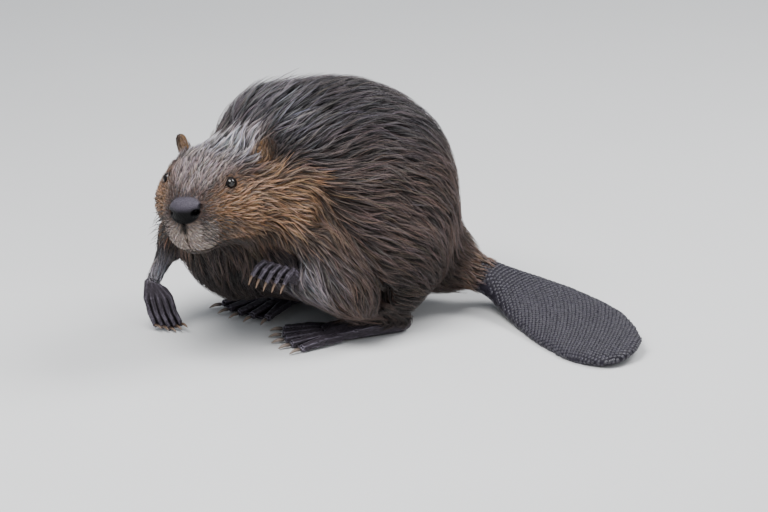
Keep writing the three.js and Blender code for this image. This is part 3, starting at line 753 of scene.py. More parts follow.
# Body locks are long and face locks short. Each is a tube of three-cornered rings that ends in a point.
RINGS = {"body": (0.0, 0.3, 0.58, 0.84), "face": (0.0, 0.42, 0.8)}  # where along the lock
GIRTH = {"body": (0.7, 1.0, 0.85, 0.5), "face": (0.8, 1.0, 0.6)}  # share of the lock's width there
PALE = {"body": (0.36, 0.05, 0.36), "face": (0.52, 0.16, 0.5)}  # share of pale locks; the others' range
SHORT_HAIR = 17.0  # below this length a clump is made of face locks
STEPS = 5  # places of a clump's path along its hair; one more lies beyond, for the locks that reach further
COAT_FIELDS = ("cell", "width", "depth", "length", "lift", "wet", "under", "tip", "head")
CLUMP_SPREAD = 0.66  # how far from its clump's middle a lock may root, as a share of the clump's size
LOWEST_HAIR = 0.2  # over the floor
BAKE_PATCH = 0.003  # size of a lock on its piece's bake map
PIECE_TRIANGLES = 185000  # about the most in one piece of the coat


def pick(values, corner, share):
    """Values at points given by a triangle's three corners and the share of each."""
    if values.ndim == 1:
        return (values[corner] * share).sum(1)
    return (values[corner] * share[:, :, None]).sum(1)


def clump_roots(mesh, points, fields, rng, spacing):
    """Evenly scattered places for the clumps, as triangle corners and shares."""
    triangles = read_triangles(mesh)
    a, b, c = (points[triangles[:, i]] for i in range(3))
    area = 0.5 * np.linalg.norm(np.cross(b - a, c - a), axis=1)
    cell = fields["cell"] * spacing
    weight = area * (fields["amount"] / cell**2)[triangles].mean(1)
    count = int(3.2 * weight.sum())
    chosen = rng.choice(len(triangles), count, p=weight / weight.sum())
    share = rng.dirichlet((1, 1, 1), count)
    corner = triangles[chosen]
    where = pick(points, corner, share)
    gap = 0.86 * pick(cell, corner, share)
    tree = point_tree(where)
    alive = np.ones(count, bool)
    kept = []
    for i in range(count):
        if alive[i]:
            kept.append(i)
            for _, j, _ in tree.find_range(where[i], gap[i]):
                alive[j] = False
    return corner[kept], share[kept]


def walk(points, fields, start, length, bend):
    """Paths along the skin from each start, following the lie of the hair, with the normals on the way."""
    tree = point_tree(points)
    flow, normal = fields["flow"], fields["normal"]
    here = start.copy()
    path, ups = [], []
    step = (length / (STEPS - 1))[:, None]
    for _ in range(STEPS + 1):
        index = np.array([tree.find(p)[1] for p in here])
        n = normal[index]
        here = here - ((here - points[index]) * n).sum(1)[:, None] * n
        path.append(here)
        ups.append(n)
        way = flow[index] + bend[:, None] * np.cross(n, flow[index])
        here = here + unit(way) * step
    return np.stack(path, axis=1), np.stack(ups, axis=1)


def along_path(path, owner, share):
    """Each lock's points on its clump's path at the given shares of the clump's length."""
    s = np.clip(share * (STEPS - 1), 0, STEPS - 1e-4)
    low = np.floor(s).astype(int)
    t = (s - low)[:, :, None]
    rows = owner[:, None]
    return path[rows, low] * (1 - t) + path[rows, low + 1] * t


def lock_spread(clump, owner, share, rng):
    """How far each lock lies from its clump's path, which it nears towards the tip, and its way sideways."""
    count = len(owner)
    first = unit(clump["path"][owner, 1] - clump["path"][owner, 0])
    side = np.cross(clump["up"][owner, 0], first)
    ring = rng.uniform(0, 2 * math.pi, count)
    out = np.sqrt(rng.uniform(0, 1, count)) * CLUMP_SPREAD * clump["cell"][owner]
    offset = (np.cos(ring) * out)[:, None] * side + (np.sin(ring) * out * 0.8)[:, None] * first
    wet = clump["wet"][owner]
    pull = np.clip(0.78 + 0.13 * wet + rng.normal(0, 0.14, count) * (1 - 0.6 * wet), 0.2, 0.97)
    gather = 1 - pull[:, None] * ease(0.1, 1.0, share)
    return offset[:, None] * gather[:, :, None], side[:, None]


def lock_sway(clump, owner, share, length, rng):
    """How far each lock waves to its side; wet ones are straighter."""
    count = len(owner)
    wave = np.sin(rng.uniform(0, 6.28, count)[:, None] + share * rng.uniform(2.5, 6.0, count)[:, None])
    most = 0.045 * length * (1 - 0.6 * clump["wet"][owner]) * rng.uniform(0.2, 1.4, count)
    return wave * share * most[:, None]


def lock_rise(clump, owner, share, length, light, rng):
    """How high each lock stands over the skin, with its root a little below it; pale ones lie on top."""
    count = len(owner)
    width, depth, lift = (clump[k][owner] for k in ("width", "depth", "lift"))
    layer = depth * np.clip(0.35 + 0.55 * light + rng.uniform(-0.2, 0.2, count), 0.25, 1.1)
    rise = layer[:, None] * (1 - (1 - np.clip(share, 0, 1)) ** rng.uniform(1.6, 2.8, count)[:, None])
    rise = rise + (lift * length * 0.5)[:, None] * np.clip(share, 0, 1.2) ** 1.2
    return rise - 0.5 * np.minimum(width, 1.0)[:, None] * (share < 0.01)


def lock_rings(centre, up, width, kind, rng):
    """The corners of each lock, three round the centre of each ring, and its tip."""
    count = len(centre)
    along = unit(np.gradient(centre, axis=1))
    across = unit(np.cross(along, up))
    top = np.cross(across, along)
    roll = rng.normal(0, 0.35, count)[:, None, None]
    across, top = across * np.cos(roll) + top * np.sin(roll), top * np.cos(roll) - across * np.sin(roll)
    half = 0.5 * (width * rng.uniform(0.7, 1.25, count))[:, None] * np.array(GIRTH[kind])
    half = half[:, :, None]
    body = centre[:, :-1]
    wide, high = across[:, :-1] * half, top[:, :-1] * half * 0.8
    rings = np.stack([body - wide, body + high, body + wide], axis=2)
    corners = np.concatenate([rings.reshape(count, -1, 3), centre[:, -1:]], axis=1)
    corners[:, :, 2] = np.maximum(corners[:, :, 2], LOWEST_HAIR)
    return corners


def lock_points(clump, owner, kind, light, rng):
    """The corners and length of every lock; owner says which clump each belongs to."""
    reach = rng.uniform(0.7, 1.1, len(owner)) + 0.22 * ease(0.4, 0.8, light)
    share = reach[:, None] * np.array(RINGS[kind] + (1.0,))
    length = clump["length"][owner] * reach
    apart, side = lock_spread(clump, owner, share, rng)
    sway = lock_sway(clump, owner, share, length, rng)
    rise = lock_rise(clump, owner, share, length, light, rng)
    up = unit(along_path(clump["up"], owner, share))
    spine = along_path(clump["path"], owner, share)
    centre = spine + apart + up * rise[:, :, None] + side * sway[:, :, None]
    width = clump["width"][owner] * (1.15 - 0.6 * ease(0.4, 0.8, light))
    return lock_rings(centre, up, width, kind, rng), length


def lock_faces(kind, count):
    """Triangles of closed, three-sided locks that end in a point."""
    rings = len(RINGS[kind])
    faces = [(0, 1, 2)]
    for k in range(rings - 1):
        for s in range(3):
            a, b = 3 * k + s, 3 * k + (s + 1) % 3
            faces += [(a, a + 3, b), (b, a + 3, b + 3)]
    tip = 3 * rings
    faces += [(tip - 3 + s, tip, tip - 3 + (s + 1) % 3) for s in range(3)]
    each = tip + 1
    return (np.array(faces)[None] + each * np.arange(count)[:, None, None]).reshape(-1, 3), each


def atlas(roots, normals):
    """A place for each lock on a 3 by 2 map, with a cell for each of the six ways that the skin faces."""
    axis = np.abs(normals).argmax(1)
    facing = axis * 2 + (normals[np.arange(len(axis)), axis] > 0)
    plane = np.array([(1, 2), (0, 2), (0, 1)])[axis]
    low, size = roots.min(0) - 5, np.ptp(roots, axis=0) + 10
    spot = (np.take_along_axis(roots, plane, 1) - low[plane]) / size.max()
    cell = np.stack([facing % 3, facing // 3], axis=1)
    return (cell + (np.clip(spot, 0, 1) * 0.96 + 0.02)) / (3, 2)


def lock_lightness(clump, owner, kind, rng):
    """Some locks pale and most of them dark; the short ones differ less."""
    count = len(owner)
    share, low, high = PALE[kind]
    pale = rng.uniform(0, 1, count) < share
    light = np.where(pale, rng.uniform(0.65, 1.3, count), rng.uniform(low, high, count))
    return np.minimum(light * clump["light"][owner], 1.3)


def lock_tints(clump, owner, kind, light, rng):
    """Dark at the root and paler to the tip."""
    count = len(owner)
    stops = np.array(RINGS[kind] + (1.0,))
    red = 1 + 0.08 * rng.normal(size=count)
    warm = np.stack([red, np.ones(count), 1 - 0.1 * rng.normal(size=count)], axis=1)
    fade = ease(-0.15, 0.75, stops)[None, :, None] * np.clip(light, 0, 1)[:, None, None]
    under, tip = clump["under"][owner][:, None], (clump["tip"][owner] * warm)[:, None]
    shade = under * (1 - fade) + tip * np.maximum(light, 1)[:, None, None] * fade
    each = np.repeat(shade[:, :-1], 3, axis=1)
    return np.concatenate([each, shade[:, -1:]], axis=1).reshape(-1, 3)


def coat_piece(name, clump, owner, kind, material, rng):
    """One mesh of locks with their bake map."""
    light = lock_lightness(clump, owner, kind, rng)
    corners, length = lock_points(clump, owner, kind, light, rng)
    faces, each = lock_faces(kind, len(owner))
    mesh = mesh_of(name, corners.reshape(-1, 3), faces)
    give(mesh, "tint", lock_tints(clump, owner, kind, light, rng))
    across = np.append(np.tile([0.0, 0.5, 1.0], len(RINGS[kind])), 0.5)
    along = np.append(np.repeat(RINGS[kind], 3), 1.0)
    strand = np.empty((len(owner), each, 3))
    strand[:, :, 0] = across * 1.5
    strand[:, :, 1] = along * length[:, None] * 0.12
    strand[:, :, 2] = rng.uniform(0, 400, len(owner))[:, None]
    give(mesh, "strand", strand.reshape(-1, 3))
    centre = atlas(clump["path"][owner, 0], clump["up"][owner, 0])
    patch = centre[:, None] + BAKE_PATCH * (np.stack([across, along], axis=1) - 0.5)
    loops = read(mesh.loops, "vertex_index", 1, np.int32)[:, 0]
    layer = mesh.uv_layers.new(name="OFBake")
    layer.uv.foreach_set("vector", patch.reshape(-1, 2)[loops].astype(np.float32).ravel())
    return place(mesh, material)


def build_coat(mesh, points, fields, settings):
    """Locks over the whole skin, in pieces that each stay small."""
    rng = np.random.default_rng(settings.seed)
    corner, share = clump_roots(mesh, points, fields, rng, settings.spacing)
    clump = {k: pick(fields[k], corner, share) for k in COAT_FIELDS}
    start = pick(points, corner, share)
    count = len(start)
    clump["length"] = clump["length"] * rng.uniform(0.75, 1.2, count) * settings.length
    bend = 0.12 * rng.normal(size=count) + 0.2 * ripple(start, 24, 8)
    clump["path"], clump["up"] = walk(points, fields, start, clump["length"], bend)
    ash = rng.uniform(0, 0.45, count)[:, None]
    clump["tip"] = clump["tip"] * (1 - ash) + clump["tip"].mean(1, keepdims=True) * (0.96, 0.97, 1.02) * ash
    clump["light"] = np.clip(1 + 0.3 * rng.normal(size=count) + 0.15 * ripple(start, 35, 5), 0.35, 1.6)
    short = clump["length"] < SHORT_HAIR
    head = clump["head"] > 0.5
    local = in_head(start)
    turn = np.where(head, np.arctan2(local[:, 1], local[:, 2]), np.arctan2(start[:, 0], start[:, 2] - 130))
    for kind, members, locks in (("body", ~short, settings.body_locks), ("face", short, settings.face_locks)):
        for part, there, roughness in (("head", head, 0.46), ("rest", ~head, 0.38)):
            chosen = np.flatnonzero(members & there)
            chosen = chosen[np.argsort(turn[chosen], kind="stable")]
            each = len(lock_faces(kind, 1)[0]) * locks
            pieces = max(1, math.ceil(len(chosen) * each / PIECE_TRIANGLES))
            material = coat_material(f"{part}_{kind}_hair", roughness)
            for k, some in enumerate(np.array_split(chosen, pieces)):
                if len(some):
                    name = f"coat_{part}_{kind}_{k + 1}"
                    coat_piece(name, clump, np.repeat(some, locks), kind, material, rng)


# ------------------------------------------------------------------ materials


def new_material(name, roughness, specular):
    """A material with its node tree and its shader."""
    material = bpy.data.materials.new(name)
    material.use_nodes = True
    shader = material.node_tree.nodes["Principled BSDF"]
    shader.inputs["Roughness"].default_value = roughness
    shader.inputs["Specular IOR Level"].default_value = specular
    return material, material.node_tree, shader


def add(tree, kind, links=(), **values):
    """A node with its values set and its inputs linked: links pairs an input with a socket."""
    node = tree.nodes.new(kind)
    for key, value in values.items():
        if hasattr(node, key):
            setattr(node, key, value)
        else:
            node.inputs[key.replace("_", " ")].default_value = value
    for target, source in links:
        tree.links.new(source, node.inputs[target])
    return node


def noise(tree, where, scale, detail):
    """A cloudy pattern, as a socket from 0 to 1."""
    links = [("Vector", where)]
    return add(tree, "ShaderNodeTexNoise", links, Scale=scale, Detail=detail).outputs["Fac"]


def cells(tree, where, scale):
    """A pattern of pebbles, as the distance from the middle of each."""
    return add(tree, "ShaderNodeTexVoronoi", [("Vector", where)], Scale=scale).outputs["Distance"]


def stored(tree, name):
    """The socket of a vector that give stored on the mesh, or of its tint."""
    node = add(tree, "ShaderNodeAttribute", attribute_name=name)
    return node.outputs["Color" if name == "tint" else "Vector"]


def between(tree, value, low, high, start=0.0, end=1.0):
    """The value, whose range from start to end is made to run from low to high."""
    node = add(tree, "ShaderNodeMapRange", [("Value", value)])
    for key, number in (("From Min", start), ("From Max", end), ("To Min", low), ("To Max", high)):
        node.inputs[key].default_value = number
    return node.outputs["Result"]


def tinted(tree, shader, tone):
    """The mesh's own tint times a tone as the base colour."""
    links = [(0, stored(tree, "tint")), (1, tone)]
    colour = add(tree, "ShaderNodeVectorMath", links, operation="MULTIPLY").outputs["Vector"]
    tree.links.new(colour, shader.inputs["Base Color"])


def relief(tree, shader, height, strength, depth):
    """Fine bumps by the height socket, with their depth in metres."""
    bump = add(tree, "ShaderNodeBump", [("Height", height)], Strength=strength, Distance=depth)
    tree.links.new(bump.outputs["Normal"], shader.inputs["Normal"])


def coat_material(name, roughness):
    """Hair with a streaked colour and fine ridges along each lock."""
    material, tree, shader = new_material(name, roughness, 0.3)
    streak = noise(tree, stored(tree, "strand"), 2.2, 3.0)
    tinted(tree, shader, between(tree, streak, 0.55, 1.45, 0.25, 0.75))
    relief(tree, shader, streak, 0.35, 0.0004)
    tree.links.new(between(tree, streak, roughness - 0.1, roughness + 0.14), shader.inputs["Roughness"])
    return material


def skin_material():
    """Short fur, wrinkled paws, the scaled tail and the pebbled nose in one material."""
    material, tree, shader = new_material("skin", 0.5, 0.08)
    paw, tail, nose = add(tree, "ShaderNodeSeparateXYZ", [("Vector", stored(tree, "zone"))]).outputs
    comb, grid = stored(tree, "comb"), stored(tree, "scales")
    hair, patch = noise(tree, comb, 0.9, 4.0), noise(tree, grid, 0.12, 3.0)
    wrinkle, pebble = cells(tree, comb, 0.55), cells(tree, grid, 0.62)
    fur_tone = between(tree, hair, 0.5, 1.5, 0.3, 0.7)
    tinted(tree, shader, blend_value(tree, fur_tone, between(tree, patch, 0.5, 1.0, 0.3, 0.7), tail))
    height = blend_value(tree, hair, wrinkle, paw)
    height = blend_value(tree, height, pebble, nose)
    height = blend_value(tree, height, patch, tail)
    relief(tree, shader, height, 0.7, 0.0009)
    rough = blend_value(tree, between(tree, hair, 0.5, 0.75), 0.36, paw)
    rough = blend_value(tree, rough, between(tree, patch, 0.34, 0.55), tail)
    tree.links.new(blend_value(tree, rough, 0.34, nose), shader.inputs["Roughness"])
    return material


def blend_value(tree, first, second, share):
    """first where share is 0 and second where it is 1; each is a socket or a number."""
    node = add(tree, "ShaderNodeMix", data_type="FLOAT")
    for key, value in (("Factor", share), ("A", first), ("B", second)):
        socket = next(s for s in node.inputs if s.name == key and s.type == "VALUE")
        if isinstance(value, (int, float)):
            socket.default_value = value
        else:
            tree.links.new(value, socket)
    return next(s for s in node.outputs if s.type == "VALUE")


def hard_material(name, roughness, low, high, scale, depth=0.0003):
    """A glossy, tinted surface with mottling between low and high and a fine relief."""
    material, tree, shader = new_material(name, roughness, 0.5)
    where = add(tree, "ShaderNodeTexCoord").outputs["Object"]
    mottle = noise(tree, where, scale, 4.0)
    tinted(tree, shader, between(tree, mottle, low, high, 0.3, 0.7))
    relief(tree, shader, mottle, 0.2, depth)
    return material


# ------------------------------------------------------------------ eyes, claws, plates and whiskers

EYE_BULGE = 0.07  # how much further the front of the eyeball comes out, as a share of its radius
PLATE_HALF = (2.55, 2.75)  # half a plate's length and half its width
PLATE_STEP = (4.3, 5.2)  # from row to row and from plate to plate
PLATE_REACH = 2.4  # how far a plate's middle may lie from the nearest of the skin's points
PLATE_TINTS = (0.62, 0.9, 1.15)  # of the foot, the edge and the middle
WHISKER_TAPER, WHISKER_TIP = 0.46, 0.07  # the root's radius is the sum of both


def ball(centre, radius, axis, rings=18, sides=28):
    """A ball with a slightly raised front, as points and triangles, and each point's angle from the front."""
    a = unit(np.cross(axis, (0.0, 0.0, 1.0)))
    b = np.cross(axis, a)
    points, angles = [], []
    for k in range(1, rings):
        t = math.pi * k / rings
        r = radius * (1 + EYE_BULGE * math.exp(-((t / 0.7) ** 2)))
        for s in range(sides):
            w = 2 * math.pi * s / sides
            around = math.cos(w) * a + math.sin(w) * b
            points.append(centre + r * (math.cos(t) * axis + math.sin(t) * around))
            angles.append(t)
    points += [centre + radius * (1 + EYE_BULGE) * axis, centre - radius * axis]
    angles += [0.0, math.pi]
    faces = []
    for k in range(rings - 2):
        for s in range(sides):
            p, q = k * sides + s, k * sides + (s + 1) % sides
            faces += [(p, p + sides, q), (q, p + sides, q + sides)]
    last = (rings - 2) * sides
    for s in range(sides):
        faces.append((len(points) - 2, s, (s + 1) % sides))
        faces.append((len(points) - 1, last + (s + 1) % sides, last + s))
    return np.array(points), np.array(faces), np.array(angles)


def build_eye(side, material, colours):
    """A glassy, almost black eyeball."""
    at = np.array(EYE_AT[side])
    points, faces, angles = ball(from_head(at), EYE_RADIUS, unit(eye_axis(at) @ HEAD_AXES))
    mesh = mesh_of(f"{side}_eyeball", points, faces)
    pupil = ease(0.42, 0.36, angles)[:, None]
    give(mesh, "tint", srgb(5, 4, 4) * pupil + np.array(colours.eyes) * (1 - pupil))
    return place(mesh, material, [f"{side}_eye"])


def build_claw(node, material, colours):
    """A rounded horn claw on the node's own shape, pale with a darker root."""
    points, triangles, _ = cad_surface([node])
    form = bmesh.new()
    corners = [form.verts.new(Vector(p)) for p in points]
    for face in triangles:
        form.faces.new([corners[i] for i in face])
    limits = dict(angle_face_threshold=1.0, angle_shape_threshold=3.1)
    bmesh.ops.join_triangles(form, faces=form.faces[:], **limits)
    rough = bpy.data.meshes.new("rough")
    form.to_mesh(rough)
    form.free()
    smooth = modified(rough, "SUBSURF", levels=2)
    where = read(smooth.vertices, "co", 3).astype(float) + 0.3 * read_normals(smooth)
    mesh = mesh_of(f"{node}_horn", where, read_triangles(smooth))
    bpy.data.meshes.remove(smooth)
    paw = node.split("_claw")[0].replace("fore", "forepaw").replace("hind", "hind_foot")
    middle = np.array(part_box(paw)).mean(0) / MM + ORIGIN
    away = np.linalg.norm(where - middle, axis=1)
    along = (away - away.min()) / np.ptp(away)
    pale, dark = np.array(colours.hind_claws), srgb(60, 53, 51)
    if "fore" in node:
        pale, dark = np.array(colours.front_claws), srgb(46, 37, 34)
    give(mesh, "tint", dark + (pale - dark) * ease(0.0, 0.6, along)[:, None])
    return place(mesh, material, [node])


def scale_plate():
    """One plate of the tail, along, across and up: raised to the rear, with its foot in the skin."""
    turns = np.arange(8) * math.pi / 4 + math.pi / 8
    ring = np.stack([PLATE_HALF[0] * np.cos(turns), PLATE_HALF[1] * np.sin(turns)], axis=1)
    foot = np.column_stack([ring, np.full(8, -0.7)])
    edge = np.column_stack([ring * 0.93, 0.12 + 0.3 * ease(-2.5, 2.5, ring[:, 0])])
    points = np.concatenate([foot, edge, [(0.5, 0.0, 0.72)]])
    faces = []
    for s in range(8):
        t = (s + 1) % 8
        faces += [(s, t, s + 8), (t, t + 8, s + 8), (s + 8, t + 8, 16)]
    faces += [(0, s + 1, s) for s in range(1, 7)]
    return points, np.array(faces)


def on_surface(way, normal):
    """The level way and the one to its side, both laid along the surface with that normal."""
    rear = unit(way - (way @ normal) * normal)
    side = np.cross((0.0, 0.0, 1.0), rear)
    return rear, unit(side - (side @ normal) * normal)


def build_scales(points, fields, material, settings, colours):
    """Staggered rows of plates over the top and the underside of the tail."""
    rng = np.random.default_rng(settings.seed + 2)
    plate, plate_faces = scale_plate()
    _, ways, runs = tail_curve()
    grid, normal = fields["grid"], fields["normal"]
    foot, edge, middle = PLATE_TINTS
    tints = np.concatenate([np.full(8, foot), np.full(8, edge), [middle]])[:, None]
    horn = np.array(colours.plates)
    corners, shades = [], []
    for up in (1, -1):
        members = np.flatnonzero((fields["tail"] > 0.5) & (normal[:, 2] * up > 0.4))
        tree = point_tree([(grid[m, 0], grid[m, 1], 0.0) for m in members])
        for row in range(-4, 90):
            for column in range(-15, 16):
                along = row * PLATE_STEP[0] + 0.25 * rng.normal()
                across = (column + 0.5 * (row % 2)) * PLATE_STEP[1] + 0.25 * rng.normal()
                _, i, gap = tree.find((along, across, 0.0))
                if gap > PLATE_REACH:
                    continue
                m = members[i]
                n = normal[m]
                way = np.array([np.interp(grid[m, 0], runs, ways[:, k]) for k in range(2)] + [0.0])
                rear, side = on_surface(way, n)
                centre = points[m] + (along - grid[m, 0]) * rear + (across - grid[m, 1]) * side
                corners.append(centre + rng.uniform(0.92, 1.06) * plate @ np.array([rear, side * up, n]))
                shades.append(horn * rng.uniform(0.8, 1.2) * tints)
    where = np.concatenate(corners)
    where[:, 2] = np.maximum(where[:, 2], 0.05)
    starts = len(plate) * np.arange(len(corners))
    mesh = mesh_of("tail_plates", where, (plate_faces[None] + starts[:, None, None]).reshape(-1, 3))
    give(mesh, "tint", np.concatenate(shades))
    return place(mesh, material)


def whisker_line(root, ahead, sign, rng):
    """A whisker's middle line and its radius from the root out; those further back are longer and flatter."""
    stops = np.linspace(0, 1, 9)
    back = ease(82, 50, ahead)
    way = unit(np.array([0.25 - 0.6 * back, sign * (0.75 + 0.1 * rng.normal()), -0.35 + 0.1 * rng.normal()]))
    curl = np.array([-0.5, 0.0, -0.28 + 0.12 * rng.normal()])
    size = rng.uniform(16, 34) + 16 * back * rng.uniform(0, 1)
    line = root + ((way * size * stops[:, None]) + curl * size * 0.6 * (stops**2)[:, None]) @ HEAD_AXES
    return line, WHISKER_TAPER * (1 - stops**1.5) + WHISKER_TIP


def build_whiskers(points, material, settings, colours):
    """Long, stiff whiskers out of the dark dots of the muzzle."""
    rng = np.random.default_rng(settings.seed + 1)
    tree = point_tree(points)
    corners, faces, start = [], [], 0
    for sign in (1, -1):
        for follicle in follicles():
            root = points[tree.find(from_head(follicle * (1, sign, 1)))[1]]
            line, thick = whisker_line(root, follicle[0], sign, rng)
            along = unit(np.gradient(line, axis=0))
            a = unit(np.cross(along, (0.1, 0.2, 1.0)))
            b = np.cross(along, a)
            ring = [line + thick[:, None] * (math.cos(w) * a + math.sin(w) * b) for w in (0.3, 2.4, 4.5)]
            corners.append(np.stack(ring, axis=1).reshape(-1, 3))
            last = start + 3 * (len(line) - 1)
            for p in range(start, last, 3):
                for s, t in ((0, 1), (1, 2), (2, 0)):
                    faces += [(p + s, p + t, p + s + 3), (p + t, p + t + 3, p + s + 3)]
            faces += [(start, start + 2, start + 1), (last, last + 1, last + 2)]
            start = last + 3
    where = np.concatenate(corners)
    mesh = mesh_of("whiskers", where, faces)
    give(mesh, "tint", np.tile(np.array(colours.whiskers), (len(where), 1)))
    return place(mesh, material)


# ------------------------------------------------------------------ stage

AIM = (39.0, 67.6, 81.3)  # where the camera and the lamps point
FLOOR_HALF = 20000.0
LAMPS = (  # name, azimuth and elevation in degrees, metres away, share of the main light, size in metres
    ("key", 20, 62, 2.2, 1.0, 1.3),
    ("rim", 170, 50, 2.4, 0.7, 1.2),
    ("fill", 85, 20, 2.6, 0.3, 1.8),
)


def stand_off(thing, distance, azimuth, elevation):
    """Puts a lamp or the camera at a distance from the aim, turned towards it."""
    aim = Vector(((np.array(AIM) - ORIGIN) * MM).tolist())
    level = math.cos(elevation)
    way = Vector((math.sin(azimuth) * level, -math.cos(azimuth) * level, math.sin(elevation)))
    thing.location = aim + distance * way
    thing.rotation_euler = (thing.location - aim).to_track_quat("Z", "Y").to_euler()


def build_floor():
    """A pale floor with a very faint grain."""
    half = FLOOR_HALF
    corners = np.array([(-half, -half, 0), (half, -half, 0), (half, half, 0), (-half, half, 0)]) + ORIGIN
    floor = linked("floor", mesh_of("floor", corners, [(0, 1, 2, 3)], False))
    material, tree, shader = new_material("floor", 0.7, 0.2)
    grain = noise(tree, add(tree, "ShaderNodeTexCoord").outputs["Object"], 3.0, 3.0)
    tree.links.new(between(tree, grain, 0.62, 0.66), shader.inputs["Base Color"])
    floor.data.materials.append(material)


def build_stage(settings):
    """A pale floor, soft studio light and the camera."""
    build_floor()
    world = bpy.data.worlds.new("studio")
    world.use_nodes = True
    background = world.node_tree.nodes["Background"].inputs
    background["Color"].default_value = (*settings.ambient_colour, 1.0)
    background["Strength"].default_value = settings.ambient
    bpy.context.scene.world = world
    for name, azimuth, elevation, distance, share, size in LAMPS:
        light = bpy.data.lights.new(name, "AREA")
        light.energy = settings.key * share
        light.size = size
        stand_off(linked(name, light), distance, math.radians(azimuth), math.radians(elevation))
    lens = bpy.data.cameras.new("camera")
    lens.lens = settings.lens
    lens.sensor_width = 36.0
    lens.clip_end = 100.0
    camera = linked("camera", lens)
    stand_off(camera, settings.distance, settings.azimuth, settings.elevation)
    bpy.context.scene.camera = camera


# ------------------------------------------------------------------ add-on


def setting(kind, name, description, default, low, high, **more):
    """A property with its name, description, default and limits."""
    return kind(name=name, description=description, default=default, min=low, max=high, **more)


def colour(name, description, red, green, blue):
    """A colour property that starts from the usual 0 to 255 steps."""
    start = tuple(srgb(red, green, blue))
    return setting(FloatVectorProperty, name, description, start, 0.0, 1.0, subtype="COLOR")


def angle(name, description, degrees):
    """An angle property that starts from a number of degrees."""
    start = math.radians(degrees)
    return setting(FloatProperty, name, description, start, -math.tau, math.tau, subtype="ANGLE")


class BeaverBody(bpy.types.PropertyGroup):
    """Sizes of the skin and the coat."""

    voxel: setting(FloatProperty, "Detail", "Size of the skin's faces", 0.002, 0.001, 0.006, unit="LENGTH")
    seed: setting(IntProperty, "Seed", "Start of the random numbers for the hair", 11, 0, 9999)
    spacing: setting(FloatProperty, "Clump spacing", "Factor on the distance between clumps", 0.96, 0.5, 3.0)
    length: setting(FloatProperty, "Hair length", "Factor on the length of the hair", 1.0, 0.3, 2.0)
    body_locks: setting(IntProperty, "Body locks", "Locks in each clump of long hair", 7, 1, 12)
    face_locks: setting(IntProperty, "Face locks", "Locks in each clump of short hair", 4, 1, 12)


class BeaverColours(bpy.types.PropertyGroup):
    """Colours of the hair's tips and of the bare parts."""

    back: colour("Back", "Hair tips of the body and the thighs", 103, 84, 77)
    arms: colour("Arms", "Hair tips of the arms", 98, 79, 70)
    rump: colour("Rump", "Hair tips round the root of the tail", 172, 138, 118)
    shoulders: colour("Shoulders", "Hair tips behind the cheeks", 140, 108, 82)
    cheeks: colour("Cheeks", "Hair tips of the cheeks", 172, 130, 94)
    brow: colour("Brow", "Hair tips above the eyes", 172, 154, 152)
    # The crown's pale tips stand for a painted reflection of the sky on the wet hair.
    crown: colour("Crown", "Hair tips on top of the head", 190, 183, 188)
    lips: colour("Lips", "Hair tips round the mouth", 196, 178, 166)
    nose: colour("Nose", "The bare nose round the nostrils", 5, 5, 6)
    eyes: colour("Eyes", "Ring round the pupils", 20, 13, 10)
    whiskers: colour("Whiskers", "The whiskers", 30, 26, 26)
    paws: colour("Paws", "Skin of the paws and feet", 66, 60, 66)
    front_claws: colour("Front claws", "Points of the front claws", 106, 84, 66)
    hind_claws: colour("Hind claws", "Points of the hind claws", 120, 106, 96)
    tail: colour("Tail", "Skin between the plates of the tail", 45, 42, 50)
    plates: colour("Plates", "Plates of the tail", 45, 42, 51)


class BeaverStage(bpy.types.PropertyGroup):
    """Settings of the light and the camera."""

    azimuth: angle("Azimuth", "Camera's angle round the model", 60.0)
    elevation: angle("Elevation", "Camera's angle above the floor", 18.0)
    distance: setting(FloatProperty, "Distance", "Camera's distance", 7.0, 0.5, 90.0, unit="LENGTH")
    lens: setting(FloatProperty, "Lens", "Focal length", 269.0, 10.0, 1000.0, unit="CAMERA")
    key: setting(FloatProperty, "Key light", "Power of the main light", 82.0, 0.0, 1000.0, unit="POWER")
    ambient: setting(FloatProperty, "Ambient light", "Strength of the light from all round", 0.46, 0.0, 10.0)
    ambient_colour: setting(
        FloatVectorProperty,
        "Ambient colour",
        "Colour of the light from all round",
        (0.86, 0.92, 1.0),
        0.0,
        1.0,
        subtype="COLOR",
    )


class BEAVER_OT_skin(bpy.types.Operator):
    """Build the one skin that replaces all flesh"""

    bl_idname = "beaver.skin"
    bl_label = "Build Skin"

    def execute(self, context):
        mesh, points, fields = build_form(context.scene.beaver_body.voxel, context.scene.beaver_colours)
        MAKE["form"] = (mesh, points, fields)
        mesh.name = "skin"
        mesh.shade_smooth()
        give(mesh, "tint", fields["under"] * 0.6 + fields["tip"] * 0.4)
        give(mesh, "zone", np.stack([fields["paw"], fields["tail"], fields["nose"]], axis=1))
        give(mesh, "comb", fields["comb"])
        give(mesh, "scales", fields["grid"])
        place(mesh, skin_material(), list(ZONES))
        return {"FINISHED"}


class BEAVER_OT_coat(bpy.types.Operator):
    """Grow the locks of hair over the skin"""

    bl_idname = "beaver.coat"
    bl_label = "Grow Coat"

    def execute(self, context):
        build_coat(*MAKE["form"], context.scene.beaver_body)
        return {"FINISHED"}


class BEAVER_OT_scales(bpy.types.Operator):
    """Lay the plates over the tail"""

    bl_idname = "beaver.scales"
    bl_label = "Lay Tail Scales"

    def execute(self, context):
        material = hard_material("tail_plate", 0.36, 0.75, 1.25, 260)
        _, points, fields = MAKE["form"]
        build_scales(points, fields, material, context.scene.beaver_body, context.scene.beaver_colours)
        return {"FINISHED"}


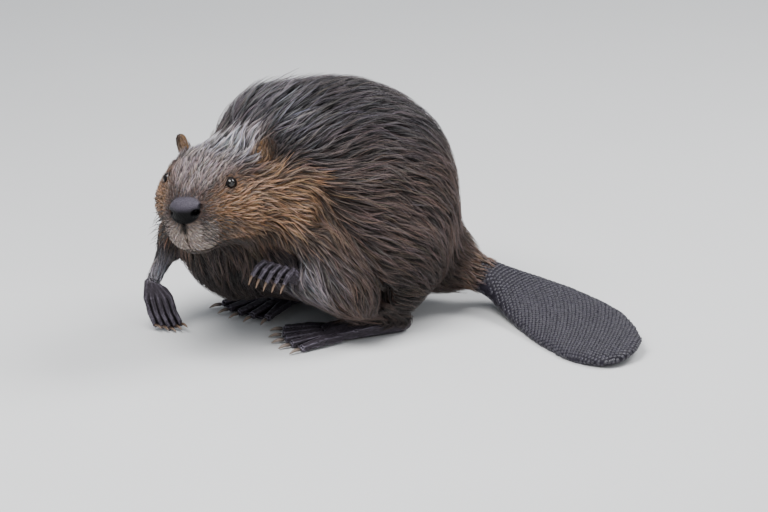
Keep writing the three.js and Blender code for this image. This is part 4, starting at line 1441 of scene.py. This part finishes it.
class BEAVER_OT_eyes(bpy.types.Operator):
    """Build the two eyes"""

    bl_idname = "beaver.eyes"
    bl_label = "Build Eyes"

    def execute(self, context):
        material = hard_material("eye", 0.06, 0.8, 1.2, 300, 0.00002)
        for side in EYE_AT:
            build_eye(side, material, context.scene.beaver_colours)
        return {"FINISHED"}


class BEAVER_OT_claws(bpy.types.Operator):
    """Build the twenty claws"""

    bl_idname = "beaver.claws"
    bl_label = "Build Claws"

    def execute(self, context):
        material = hard_material("horn", 0.32, 0.8, 1.15, 260)
        for node in sorted(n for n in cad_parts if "_claw_" in n):
            build_claw(node, material, context.scene.beaver_colours)
        return {"FINISHED"}


class BEAVER_OT_whiskers(bpy.types.Operator):
    """Build the whiskers"""

    bl_idname = "beaver.whiskers"
    bl_label = "Build Whiskers"

    def execute(self, context):
        material = hard_material("whisker", 0.4, 0.8, 1.2, 200)
        points = MAKE["form"][1]
        build_whiskers(points, material, context.scene.beaver_body, context.scene.beaver_colours)
        return {"FINISHED"}


class BEAVER_OT_stage(bpy.types.Operator):
    """Set up the floor, the light and the camera"""

    bl_idname = "beaver.stage"
    bl_label = "Set Up Stage"

    def execute(self, context):
        build_stage(context.scene.beaver_stage)
        return {"FINISHED"}


OPERATORS = (
    BEAVER_OT_skin,
    BEAVER_OT_coat,
    BEAVER_OT_scales,
    BEAVER_OT_eyes,
    BEAVER_OT_claws,
    BEAVER_OT_whiskers,
    BEAVER_OT_stage,
)


class BEAVER_PT_panel(bpy.types.Panel):
    """The beaver's settings and build steps in the sidebar"""

    bl_label = "Beaver"
    bl_idname = "BEAVER_PT_panel"
    bl_space_type = "VIEW_3D"
    bl_region_type = "UI"
    bl_category = "Beaver"

    def draw(self, context):
        for name in SETTINGS:
            settings = getattr(context.scene, name)
            for key in settings.__annotations__:
                self.layout.prop(settings, key)
        for operator in OPERATORS:
            self.layout.operator(operator.bl_idname)


SETTINGS = {"beaver_body": BeaverBody, "beaver_colours": BeaverColours, "beaver_stage": BeaverStage}
CLASSES = (*SETTINGS.values(), *OPERATORS, BEAVER_PT_panel)


def register():
    for cls in CLASSES:
        bpy.utils.register_class(cls)
    for name, group in SETTINGS.items():
        setattr(bpy.types.Scene, name, PointerProperty(type=group))


def unregister():
    for name in SETTINGS:
        delattr(bpy.types.Scene, name)
    for cls in reversed(CLASSES):
        bpy.utils.unregister_class(cls)


def main():
    register()
    for operator in OPERATORS:
        group, name = operator.bl_idname.split(".")
        getattr(getattr(bpy.ops, group), name)()


if __name__ == "__main__":
    main()
